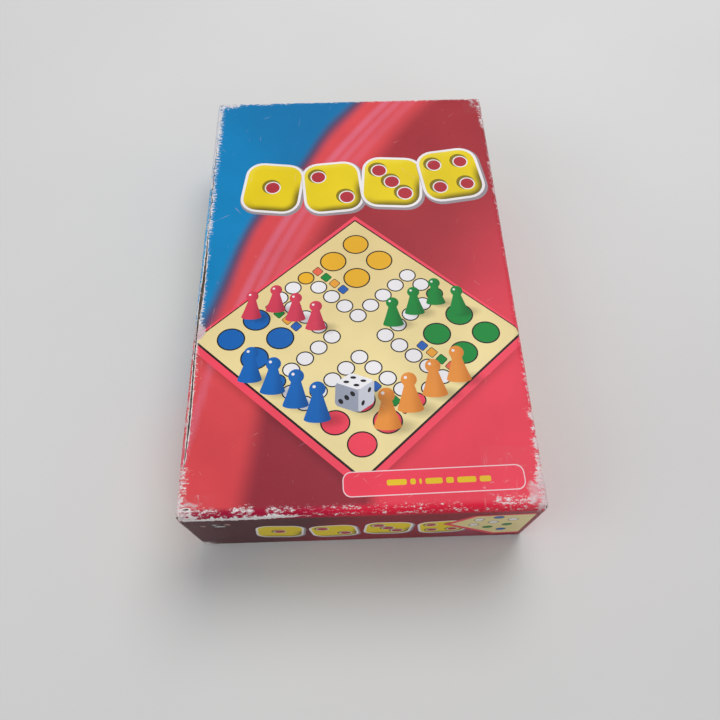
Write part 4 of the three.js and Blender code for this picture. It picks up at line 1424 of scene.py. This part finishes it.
    def tapes(self, label: Piece) -> None:
        """Makes the four strips of tape."""
        self.tape(label, "front_left_corner",
                  [((-72.5, 0, 0), (1, 0.03, 0)), ((0, -125, 0), (-0.02, 1, 0)),
                   ((0, 0, 20), (0.02, 0.03, -1))],
                  [((-80, -132, 60), 9.0, 0.12)])
        self.tape(label, "front_right_corner",
                  [((63.5, 0, 0), (-1, 0.05, 0)), ((0, -104, 0), (0.04, 1, 0)),
                   ((0, 0, 22), (0.02, 0.02, -1))],
                  [((85, -131, 59), 11.0, 0.3), ((70, -110, 60), 6.0, 0.1)])
        self.tape(label, "back_right_corner",
                  [((75.5, 0, 0), (-1, 0, 0)), ((0, 120, 0), (0.03, -1, 0)), ((0, 0, 14), (0, 0.02, -1))],
                  [((83, 132, 60), 7.0, 0.2)])
        self.tape(label, "left_edge",
                  [((-81.5, 0, 0), (1, 0.015, 0)), ((0, -98, 0), (0.05, -1, 0.06)),
                   ((0, -33, 0), (0.04, 1, 0.05)), ((0, 0, 38), (0, 0.02, -1))],
                  [((-87, -80, 58.5), 5.0, 0.22), ((-86.5, -91, 58.5), 4.0, 0.16),
                   ((-86.3, -38.5, 59.5), 6.5, 0.6)])

    def fibre_tree(self) -> Tree:
        """Builds the tree that stands a curled paper fibre on each worn point."""
        tree, given = geometry_tree("torn_fibres", {"Length": 1.5 * MM, "Width": 0.3 * MM,
                                                    "Thickness": 0.04 * MM, "Curl": 0.16 * MM, "Seed": 12})
        extent = add(tree, "CombineXYZ",
                     [given.outputs["Width"], given.outputs["Length"], given.outputs["Thickness"]])
        strip = add(tree, "GeometryNodeMeshCube",
                    {"Size": extent, "Vertices X": 2, "Vertices Y": 5, "Vertices Z": 2})
        place = add(tree, "SeparateXYZ", [add(tree, "GeometryNodeInputPosition")])
        along = add(tree, "Math", [place.outputs["Y"], given.outputs["Length"]], operation="DIVIDE")
        bow = add(tree, "Math", [along, 2.0], operation="POWER")
        lift = add(tree, "Math", [bow, given.outputs["Curl"], place.outputs["Z"]], operation="MULTIPLY_ADD")
        taper = add(tree, "MapRange", [along, -0.5, 0.5, 1.0, 0.15])
        narrow = add(tree, "Math", [place.outputs["X"], taper], operation="MULTIPLY")
        bent = add(tree, "CombineXYZ", [narrow, place.outputs["Y"], lift])
        fibre = add(tree, "GeometryNodeSetPosition", {"Geometry": strip, "Position": bent})
        out = add(tree, "GeometryNodeInputNamedAttribute", {"Name": "out"}, data_type="FLOAT_VECTOR")
        aim = add(tree, "FunctionNodeAlignRotationToVector", {"Vector": out}, axis="Z")
        spin = add(tree, "FunctionNodeRandomValue",
                   {0: (-0.22, -0.22, 0.0), 1: (0.22, 0.22, math.tau), "Seed": given.outputs["Seed"]},
                   data_type="FLOAT_VECTOR")
        turned = add(tree, "FunctionNodeEulerToRotation", {0: spin})
        facing = add(tree, "FunctionNodeRotateRotation", {"Rotation": aim, "Rotate By": turned},
                     rotation_space="LOCAL")
        size = add(tree, "FunctionNodeRandomValue", {2: 0.35, 3: 1.25, "Seed": given.outputs["Seed"]},
                   data_type="FLOAT")
        stood = add(tree, "GeometryNodeInstanceOnPoints",
                    {"Points": given, "Instance": fibre, "Rotation": facing, "Scale": size})
        real = add(tree, "GeometryNodeRealizeInstances", {0: stood})
        dressed = add(tree, "GeometryNodeSetMaterial",
                      {"Geometry": real, "Material": TORN_PAPER.material()})
        add(tree, "NodeGroupOutput", {0: dressed})
        return tree

    def fibres(self, label: Piece) -> None:
        """Scatters torn fibres where the label is worn most, and along the tear."""
        rng = np.random.default_rng(11)
        places = places_of(label.data)
        wear = np.zeros(len(places), np.float32)
        label.data.attributes["wear"].data.foreach_get("value", wear)
        normals = normals_of(label.data)
        dx, dz = self.form.width / 2 + places[:, 0], self.form.height - places[:, 2]
        torn = (np.hypot(dx, dz) < 2.6) & (places[:, 1] > self.split_front) & (places[:, 1] < self.split_back)
        chance = np.where(torn, 0.30, np.clip(wear - 0.42, 0, 1) * 1.6) * (places[:, 2] > 3)
        chosen = np.flatnonzero(rng.random(len(places)) < chance)
        chosen = rng.permutation(chosen)[: self.fibre_count]
        spots = places[chosen] + normals[chosen] * self.fibre_rise
        guide = make_piece("paper_fibres", spots, [], TORN_PAPER)
        layer = guide.data.attributes.new("out", "FLOAT_VECTOR", "POINT")
        layer.data.foreach_set("vector", normals[chosen].astype(np.float32).ravel())
        apply_tree(guide, self.fibre_tree())
        found = places_of(guide.data)
        reach = np.array([self.form.width / 2, self.form.length / 2, self.form.height]) + self.fibre_limit
        past = np.abs(found) - reach
        move_points(guide.data, np.where(past > 0, np.sign(found) * (reach + past * 0.06), found))
        place_piece(guide, "lid")

    def build(self) -> None:
        """Makes the lid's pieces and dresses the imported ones."""
        label = self.label()
        self.tapes(label)
        self.fibres(label)
        give_thickness(label, self.paper, TORN_PAPER)
        smooth(label, 40.0)
        place_piece(label, "lid", ["lid_wrap"])
        # The lid's board is painted darker, as dirt and as the shade in the split.
        dress_nodes(DIRTY_AND_SHADED_BOARD, ["lid_board"])
        dress_nodes(KRAFT, [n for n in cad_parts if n.startswith("lid_corner_stay")])


# Under the lid


@dataclass(frozen=True)
class LeafletPaper(Finish):
    """Uncoated leaflet paper: off-white, with rows of grey bars in place of print, and soft creases."""

    left: float = -38.1
    width: float = 105.0
    length: float = 148.0
    margin: float = 9.0
    row: float = 3.4

    def dress(self, tree: Tree, shader: Node, place: Socket) -> None:
        """Prints the bars inside the page's margins, over cloudy paper with creases."""
        bars = add(tree, "TexBrick",
                   {"Vector": place, "Color1": paint("#6f6d6c"), "Color2": paint("#8d8a88"),
                    "Mortar": paint("#efece4"), "Scale": 1.0, "Mortar Size": self.row * 0.29 * MM,
                    "Mortar Smooth": 0.2, "Bias": 0.0, "Brick Width": 15.0 * MM,
                    "Row Height": self.row * MM}, offset=0.37, squash=0.6, squash_frequency=3)
        shift = (-(self.left + self.width / 2) * MM, 0.0, 0.0)
        middle = add(tree, "Mapping", {"Vector": place, "Location": shift})
        axes = add(tree, "SeparateXYZ", [middle])
        inside = []
        for axis, half in (("X", self.width / 2 - self.margin), ("Y", self.length / 2 - self.margin)):
            size = add(tree, "Math", [axes.outputs[axis]], operation="ABSOLUTE")
            within = add(tree, "Math", [size, half * MM], operation="LESS_THAN")
            inside.append(within)
        page = add(tree, "Math", [inside[0], inside[1]], operation="MULTIPLY")
        cloud = add(tree, "TexNoise", [place, per(28.0), 4.0])
        paper = add(tree, "Mix", [cloud, paint("#f4f1e9"), paint("#e2ddd0")], data_type="RGBA")
        printed = add(tree, "Mix", [page, paper, bars], data_type="RGBA")
        crease = add(tree, "TexNoise",
                     {"Vector": place, "Scale": per(17.0), "Detail": 5.0, "Distortion": 1.5})
        bump = add(tree, "Bump", {"Height": crease, "Strength": 0.3, "Distance": 0.6 * MM})
        rough = add(tree, "MapRange", [cloud, 0.0, 1.0, 0.72, 0.88])
        feed(shader, {"Base Color": printed, "Normal": bump, "Roughness": rough})


@dataclass
class Base:
    """The base tray with its dyed wrap, corner stays and folded card insert, and the leaflet on it."""

    def build(self) -> None:
        """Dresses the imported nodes, whose shapes are right."""
        dress_nodes(CHIPBOARD, ["base_board"])
        dress_nodes(DYED_PAPER, ["base_wrap"])
        dress_nodes(WHITE_CARD, ["card_insert"])
        dress_nodes(KRAFT, [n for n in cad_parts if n.startswith("base_corner_stay")])
        dress_nodes(LeafletPaper("uncoated_leaflet_paper"), ["rules_leaflet"])


@dataclass
class FoldingBoard:
    """The folding board: two chipboard leaves, a printed field on each, and book cloth round the spine."""

    spine: float = -50.1
    fold_height: float = 45.5
    leaf: float = 131.0
    relief: float = 0.3
    margin: float = 0.4
    gap: float = 0.3
    paper: float = 0.2
    step: float = 4.5
    cloth_width: float = 13.0
    cloth: float = 0.25
    thick: float = 5.2
    field_pitch: float = 22.6
    home_inks: tuple[str, ...] = ("#f0b52a", "#128a3a", "#e8455c", "#1766b8")

    def field_sheet(self) -> PrintedSheet:
        """Prints the open board's playing field, centred on the spine."""
        half = self.leaf
        cream, tan = tones("#efe0a6", "#e7d596")
        sheet = PrintedSheet(lambda x, y: blend_inks(cream, tan, soft_step(np.hypot(x, y), 30, 180)))
        for inset, code in ((3.0, "#dd4157"), (8.0, "#221c1c"), (9.2, "#efe0a6")):
            sheet.lay(tile_outline(0, 0, 2 * (half - inset), 2 * (half - inset), 6.0), code)
        pitch = self.field_pitch
        for i, j, code in cross_track(True, "#f4f1ee", self.home_inks):
            sheet.ring(i * pitch, j * pitch, 17.0, code, weight=0.8)
        for (a, b), code in zip(HOMES, self.home_inks):
            for u in (-0.55, 0.55):
                for v in (-0.55, 0.55):
                    sheet.ring((a * 3.55 + u) * pitch, (b * 3.55 + v) * pitch, 21.0, code, weight=0.9)
        return sheet

    def leaf_print(self, name: str, upper: bool) -> Piece:
        """Makes the printed sheet of one leaf.

        Args:
            name: The piece's name.
            upper: Whether it is the upper leaf, which lies face down.

        Returns:
            The sheet.
        """
        sheet = self.field_sheet()
        way = -1 if upper else 1
        near, far = self.relief, self.leaf - self.margin
        border = tile_outline(way * (near + far) / 2, 0, far - near, 2 * far, 0.4)
        xs, ys = np.arange(near + 2, far - 1, self.step) * way, np.arange(-far + 2, far - 1, self.step)
        grid = lattice(xs, ys)
        kept, sheet.patches = sheet.patches, []
        for patch in kept:
            clipped = clip_outline(patch.outline, way, near, far - 0.05, far - 0.05)
            if len(clipped) > 2:
                sheet.lay(clipped, patch.ink)
        flat, triangles, ink = sheet.cut(border, grid)
        height = self.fold_height - way * self.gap / 2
        points = np.column_stack([self.spine + flat[:, 0] * way, flat[:, 1], np.full(len(flat), height)])
        piece = make_piece(name, points, triangles.tolist(), FIELD_PAPER)
        set_ink(piece.data, ink)
        work = bmesh.new()
        work.from_mesh(piece.data)
        for face in work.faces:
            if (face.normal.z < 0) != upper:
                face.normal_flip()
        work.to_mesh(piece.data)
        work.free()
        edge = np.minimum(self.leaf - np.abs(flat[:, 1]), self.leaf - np.abs(flat[:, 0]))
        rub = 0.55 * np.exp(-np.maximum(edge - 0.4, 0) / 1.3) + 0.42 * np.exp(-np.abs(flat[:, 0]) / 1.0)
        set_wear(piece.data, rub)
        give_thickness(piece, self.paper, TORN_PAPER)
        return piece

    def spine_cloth(self) -> None:
        """Makes the cloth strip: under the lower leaf, round the spine and over the upper leaf."""
        low, high = self.fold_height - self.thick / 2, self.fold_height + self.thick / 2
        round_off, out = 0.5, 0.25
        path = [(x, low) for x in np.linspace(self.cloth_width, round_off - out, 9)]
        path += [(round_off - out - round_off * math.sin(a), low + round_off * (1 - math.cos(a)))
                 for a in np.linspace(0, math.pi / 2, 5)[1:]]
        path += [(-out, z) for z in np.linspace(low + round_off, high - round_off, 9)[1:-1]]
        path += [(x, high + low - z) for x, z in reversed(path[: len(path) - 7])]
        section = np.array(path)
        run = np.concatenate([[0], np.cumsum(np.hypot(*np.diff(section, axis=0).T))])
        ys = np.linspace(-self.leaf + self.margin, self.leaf - self.margin, 90)
        points, uvs = [], []
        for y in ys:
            for (x, z), r in zip(section, run):
                points.append((self.spine + x, y, z))
                uvs.append((r * MM, y * MM))
        n = len(section)
        faces = [(k * n + i, k * n + i + 1, (k + 1) * n + i + 1, (k + 1) * n + i)
                 for k in range(len(ys) - 1) for i in range(n - 1)]
        piece = make_piece("spine_book_cloth", np.array(points), faces, SPINE_CLOTH)
        layer = piece.data.uv_layers.new(name="cloth")
        for loop in piece.data.loops:
            layer.data[loop.index].uv = uvs[loop.vertex_index]
        below = next(p for p in piece.data.polygons
                     if abs(p.normal.z) > 0.9 and p.center.z < self.fold_height * MM)
        if below.normal.z > 0:
            piece.data.flip_normals()
        give_thickness(piece, self.cloth)
        smooth(piece, 50)
        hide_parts("hinge_cloth_lower", "hinge_cloth_upper")
        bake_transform(piece)
        log.info("%s joins board_lower and board_upper", piece.name)

    def build(self) -> None:
        """Makes the board's pieces and dresses its leaves."""
        dress_nodes(CHIPBOARD, ["board_leaf_lower", "board_leaf_upper"])
        for leaf in ("lower", "upper"):
            piece = self.leaf_print("playing_field_" + leaf, leaf == "upper")
            place_piece(piece, "board_" + leaf, ["board_print_" + leaf])
        self.spine_cloth()


def clip_outline(outline: Array, way: int, near: float, far: float, half: float) -> Array:
    """Clips an outline to one leaf of the open board.

    Args:
        outline: The outline, on the open board.
        way: Which side of the spine the leaf lies on.
        near: The leaf's edge by the spine.
        far: The leaf's outer edge.
        half: Half its length.

    Returns:
        What lies on the leaf.
    """
    points = [tuple(p) for p in outline]
    for axis, limit, sign in ((0, near, way), (0, far, -way), (1, half, -1), (1, -half, 1)):
        bound = limit * way if axis == 0 else limit
        kept: list[Point2] = []
        for a, b in zip(points, points[1:] + points[:1]):
            ina, inb = (a[axis] - bound) * sign >= 0, (b[axis] - bound) * sign >= 0
            if ina:
                kept.append(a)
            if ina != inb:
                t = (bound - a[axis]) / (b[axis] - a[axis])
                kept.append((a[0] + (b[0] - a[0]) * t, a[1] + (b[1] - a[1]) * t))
        points = kept
        if len(points) < 3:
            return np.zeros((0, 2))
    return np.array(points)


@dataclass
class Pawns:
    """Sixteen moulded pawns in two rows along the well: skirt, waist, collar and ball head."""

    height: float = 25.0
    base: float = 12.2
    foot: float = 2.2
    inset: float = 0.5
    waist: float = 4.8
    collar: float = 6.2
    collar_height: float = 0.9
    head: float = 7.4
    hollow: float = 7.0
    hollow_depth: float = 4.0
    turns: int = 40

    def profile(self) -> list[Point2]:
        """Gives the pawn's half section, from the middle of the hollow foot up to the crown."""
        r, w, c, h = self.base / 2, self.waist / 2, self.collar / 2, self.head / 2
        head_centre = self.height - h
        neck = math.sqrt(h * h - w * w)
        collar_low = head_centre - neck - self.collar_height
        points = [(0.0, self.hollow_depth), (self.hollow / 2 - self.inset, self.hollow_depth),
                  (self.hollow / 2, 0.0)]
        for x, z, start in ((r - self.inset, self.inset, -90), (r - self.inset, self.foot - self.inset, 0)):
            points += [(x + self.inset * math.cos(math.radians(start + k * 30)),
                        z + self.inset * math.sin(math.radians(start + k * 30))) for k in range(4)]
        middle = (self.foot + collar_low) / 2
        ends = ((r - self.inset, self.foot), (r - 2 * self.inset, middle), (w, middle), (w, collar_low))
        for k in range(1, 15):
            t = k / 14
            share = ((1 - t) ** 3, 3 * t * (1 - t) ** 2, 3 * t * t * (1 - t), t**3)
            points.append(tuple(sum(s * e[axis] for s, e in zip(share, ends)) for axis in (0, 1)))
        half = self.collar_height / 2
        points += [(c - half * 0.6 + half * 0.6 * math.sin(a), collar_low + half - half * math.cos(a))
                   for a in np.linspace(0, math.pi, 7)]
        points.append((w, head_centre - neck))
        ball = np.linspace(-math.acos(w / h), math.pi / 2, 14)[1:-1]
        points += [(h * math.cos(a), head_centre + h * math.sin(a)) for a in ball]
        points.append((0.0, self.height))
        return points

    def lathe_tree(self, finish: Finish) -> Tree:
        """Builds the tree that turns a half section about the upright axis.

        Args:
            finish: What the turned piece is dressed in.

        Returns:
            The geometry tree.
        """
        tree, given = geometry_tree("turned_" + finish.name, {"Turns": self.turns})
        size = add(tree, "GeometryNodeAttributeDomainSize", {0: given}, component="MESH")
        count = size.outputs["Point Count"]
        columns = add(tree, "Math", [given.outputs["Turns"], 1.0], operation="ADD")
        grid = add(tree, "GeometryNodeMeshGrid", {"Vertices X": columns, "Vertices Y": count})
        index = add(tree, "GeometryNodeInputIndex")
        row = add(tree, "Math", [index, count], operation="FLOORED_MODULO")
        share = add(tree, "Math", [index, count], operation="DIVIDE")
        column = add(tree, "Math", [share], operation="FLOOR")
        part = add(tree, "Math", [column, given.outputs["Turns"]], operation="DIVIDE")
        angle = add(tree, "Math", [part, math.tau], operation="MULTIPLY")
        here = add(tree, "GeometryNodeInputPosition")
        taken = add(tree, "GeometryNodeSampleIndex", {"Geometry": given, "Value": here, "Index": row},
                    data_type="FLOAT_VECTOR")
        point = add(tree, "SeparateXYZ", [taken])
        sides = []
        for kind in ("COSINE", "SINE"):
            wave = add(tree, "Math", [angle], operation=kind)
            side = add(tree, "Math", [wave, point.outputs["X"]], operation="MULTIPLY")
            sides.append(side)
        where = add(tree, "CombineXYZ", [sides[0], sides[1], point.outputs["Z"]])
        turned = add(tree, "GeometryNodeSetPosition", {"Geometry": grid, "Position": where})
        closed = add(tree, "GeometryNodeMergeByDistance", {"Geometry": turned, "Distance": 0.004 * MM})
        real = add(tree, "GeometryNodeRealizeInstances", {0: closed})
        dressed = add(tree, "GeometryNodeSetMaterial", {"Geometry": real, "Material": finish.material()})
        add(tree, "NodeGroupOutput", {0: dressed})
        return tree

    def build(self) -> None:
        """Makes one turned pawn for each packed one, at its place in the well."""
        for colour, finish in PAWN_DYES.items():
            section = [(x, 0.0, z) for x, z in self.profile()]
            pattern = make_piece("pawn_pattern_" + colour, np.array(section), [], finish)
            apply_tree(pattern, self.lathe_tree(finish))
            clean_up(pattern)
            smooth(pattern, 40)
            for number in range(1, 5):
                node = f"pawn_{colour}_{number}"
                low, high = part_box(node)
                mesh = pattern.data.copy()
                mesh.transform(Matrix.Translation(((low[0] + high[0]) / 2, (low[1] + high[1]) / 2, low[2])))
                place_piece(stand("moulded_" + node, mesh), node, [node])
            bpy.data.objects.remove(pattern)


@dataclass
class Die:
    """The die: a cube with round edges, and a painted round hollow for each pip."""

    side: float = 16.0
    edge: float = 1.8
    pip: float = 2.8
    depth: float = 0.6
    spacing: float = 4.2
    turn: float = 0.32

    def pip_points(self) -> list[Vector]:
        """Gives the centres of the balls that hollow the pips out."""
        layouts = {1: [(0, 0)], 2: [(-1, -1), (1, 1)], 3: [(-1, -1), (0, 0), (1, 1)],
                   4: [(-1, -1), (-1, 1), (1, -1), (1, 1)], 5: [(-1, -1), (-1, 1), (0, 0), (1, -1), (1, 1)],
                   6: [(-1, -1), (-1, 0), (-1, 1), (1, -1), (1, 0), (1, 1)]}
        turns = {1: (0, "X"), 2: (90, "X"), 3: (90, "Y"), 4: (-90, "Y"), 5: (-90, "X"), 6: (180, "X")}
        out = self.side / 2 + self.ball - self.depth
        return [Matrix.Rotation(math.radians(turns[n][0]), 3, turns[n][1])
                @ Vector((u * self.spacing, v * self.spacing, out))
                for n, spots in layouts.items() for u, v in spots]

    @property
    def ball(self) -> float:
        """The radius of the ball that hollows out a pip."""
        return (self.pip**2 / 4 + self.depth**2) / (2 * self.depth)

    def tree(self) -> Tree:
        """Builds the tree that rounds a cube and hollows a painted pip out at each point."""
        tree, given = geometry_tree("pipped_cube", {"Side": self.side * MM, "Edge Radius": self.edge * MM,
                                                    "Ball Radius": self.ball * MM})
        cube = add(tree, "GeometryNodeMeshCube",
                   {"Size": given.outputs["Side"], "Vertices X": 25, "Vertices Y": 25, "Vertices Z": 25})
        here = add(tree, "GeometryNodeInputPosition")
        half = add(tree, "Math", [given.outputs["Side"], 0.5], operation="MULTIPLY")
        core = add(tree, "Math", [half, given.outputs["Edge Radius"]], operation="SUBTRACT")
        back = add(tree, "Math", [core, -1.0], operation="MULTIPLY")
        capped = add(tree, "VectorMath", [here, core], operation="MINIMUM")
        inner = add(tree, "VectorMath", [capped, back], operation="MAXIMUM")
        beyond = add(tree, "VectorMath", [here, inner], operation="SUBTRACT")
        unit = add(tree, "VectorMath", [beyond], operation="NORMALIZE")
        swept = add(tree, "VectorMath", [unit, given.outputs["Edge Radius"]], operation="SCALE")
        rounded = add(tree, "VectorMath", [inner, swept], operation="ADD")
        body = add(tree, "GeometryNodeSetPosition", {"Geometry": cube, "Position": rounded})
        white = add(tree, "GeometryNodeSetMaterial", {"Geometry": body, "Material": DIE_ACRYLIC.material()})
        ball = add(tree, "GeometryNodeMeshUVSphere",
                   {"Segments": 24, "Rings": 20, "Radius": given.outputs["Ball Radius"]})
        black = add(tree, "GeometryNodeSetMaterial", {"Geometry": ball, "Material": PIP_ENAMEL.material()})
        stood = add(tree, "GeometryNodeInstanceOnPoints", {"Points": given, "Instance": black})
        balls = add(tree, "GeometryNodeRealizeInstances", {0: stood})
        pips = add(tree, "GeometryNodeMeshBoolean", {"Mesh 1": white, "Mesh 2": balls},
                   operation="DIFFERENCE", solver="EXACT")
        add(tree, "NodeGroupOutput", {0: pips})
        return tree

    def build(self) -> None:
        """Makes the die at its place in the well."""
        die = make_piece("acrylic_die", np.array([p[:] for p in self.pip_points()]), [], DIE_ACRYLIC)
        die.data.materials.clear()
        apply_tree(die, self.tree())
        low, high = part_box("die")
        middle = (Vector(low) + Vector(high)) / 2
        die.data.transform(Matrix.Translation(middle) @ Matrix.Rotation(self.turn, 4, "Z"))
        clean_up(die)
        smooth(die, 32)
        place_piece(die, "die", ["die"])


# The studio


@dataclass(frozen=True)
class StudioFloor(Finish):
    """Pale matt paper sweep, faintly uneven, that fades into the pale background far from the box."""

    fade_start: float = 330.0
    fade_end: float = 1300.0
    backdrop: str = "#dcdcdc"

    def dress(self, tree: Tree, shader: Node, place: Socket) -> None:
        """Varies the pale tone a little, and gives way to the backdrop in what the camera sees."""
        cloud = add(tree, "TexNoise", [place, per(160.0), 2.0])
        tone = add(tree, "Mix", [cloud, paint("#e3e3e2"), paint("#dcdcdb")], data_type="RGBA")
        away = add(tree, "VectorMath", [place], operation="LENGTH")
        far = add(tree, "MapRange", [away.outputs["Value"], self.fade_start * MM, self.fade_end * MM],
                  interpolation_type="SMOOTHSTEP")
        shown = seen_directly(tree)
        share = add(tree, "Math", [shown, far], operation="MULTIPLY")
        matt = add(tree, "Mix", [share, tone, (0, 0, 0, 1)], data_type="RGBA")
        feed(shader, {"Base Color": matt, "Emission Strength": share,
                      "Emission Color": paint(self.backdrop), "Specular IOR Level": 0.0, "Roughness": 0.85})


@dataclass
class Studio:
    """Plain pale floor, soft light from above and behind, and the camera at the photograph's angle."""

    camera_place: Point3 = (-0.0020, -0.2041, 0.3458)
    camera_turn: Point3 = (0.4739, 0.0040, -0.0300)
    lens: float = 30.7
    floor_reach: float = 3000.0

    def build(self) -> None:
        """Makes the floor, the lights, the world and the camera."""
        scene = bpy.context.scene
        tips = np.array([(-1, -1, 0), (1, -1, 0), (1, 1, 0), (-1, 1, 0)]) * self.floor_reach
        floor = make_piece("floor", tips, [(0, 1, 2, 3)], StudioFloor("pale_floor"))
        for name, place, aim, size, power in (
            ("key", (0.25, 0.55, 1.15), (0.0, 0.0, 0.03), 0.9, 9.0),
            ("fill", (-0.9, -0.35, 0.8), (0.0, 0.0, 0.03), 0.9, 2.6),
            ("front", (0.45, -1.0, 0.55), (0.0, -0.1, 0.03), 0.7, 0.7),
        ):
            lamp = bpy.data.lights.new(name, "AREA")
            lamp.shape, lamp.size, lamp.energy = "DISK", size, power
            holder = stand(name, lamp)
            holder.location = place
            holder.rotation_euler = (Vector(aim) - Vector(place)).to_track_quat("-Z", "Y").to_euler()
        world = bpy.data.worlds.new("studio")
        world.use_nodes = True
        tree = world.node_tree
        tree.nodes.clear()
        shown = seen_directly(tree)
        ambient = add(tree, "Background", {"Color": paint("#f2f3f5"), "Strength": 0.38})
        pale = add(tree, "Background", {"Color": paint("#eeeeee"), "Strength": 0.85})
        mixed = add(tree, "MixShader", [shown, ambient, pale])
        add(tree, "OutputWorld", {"Surface": mixed})
        scene.world = world
        scene.view_settings.view_transform = "Standard"
        lens = bpy.data.cameras.new("camera")
        lens.lens, lens.sensor_width = self.lens, 36.0
        lens.clip_start, lens.clip_end = 0.01, 20.0
        scene.camera = stand("camera", lens)
        scene.camera.location, scene.camera.rotation_euler = self.camera_place, self.camera_turn


def main() -> None:
    """Builds every part of the box in order and writes how large it is."""
    logging.basicConfig(level=logging.INFO, format="%(message)s")
    for part in (Studio(), Lid(), Base(), FoldingBoard(), Pawns(), Die()):
        part.build()
        log.info("built %s", type(part).__name__)


if __name__ == "__main__":
    main()
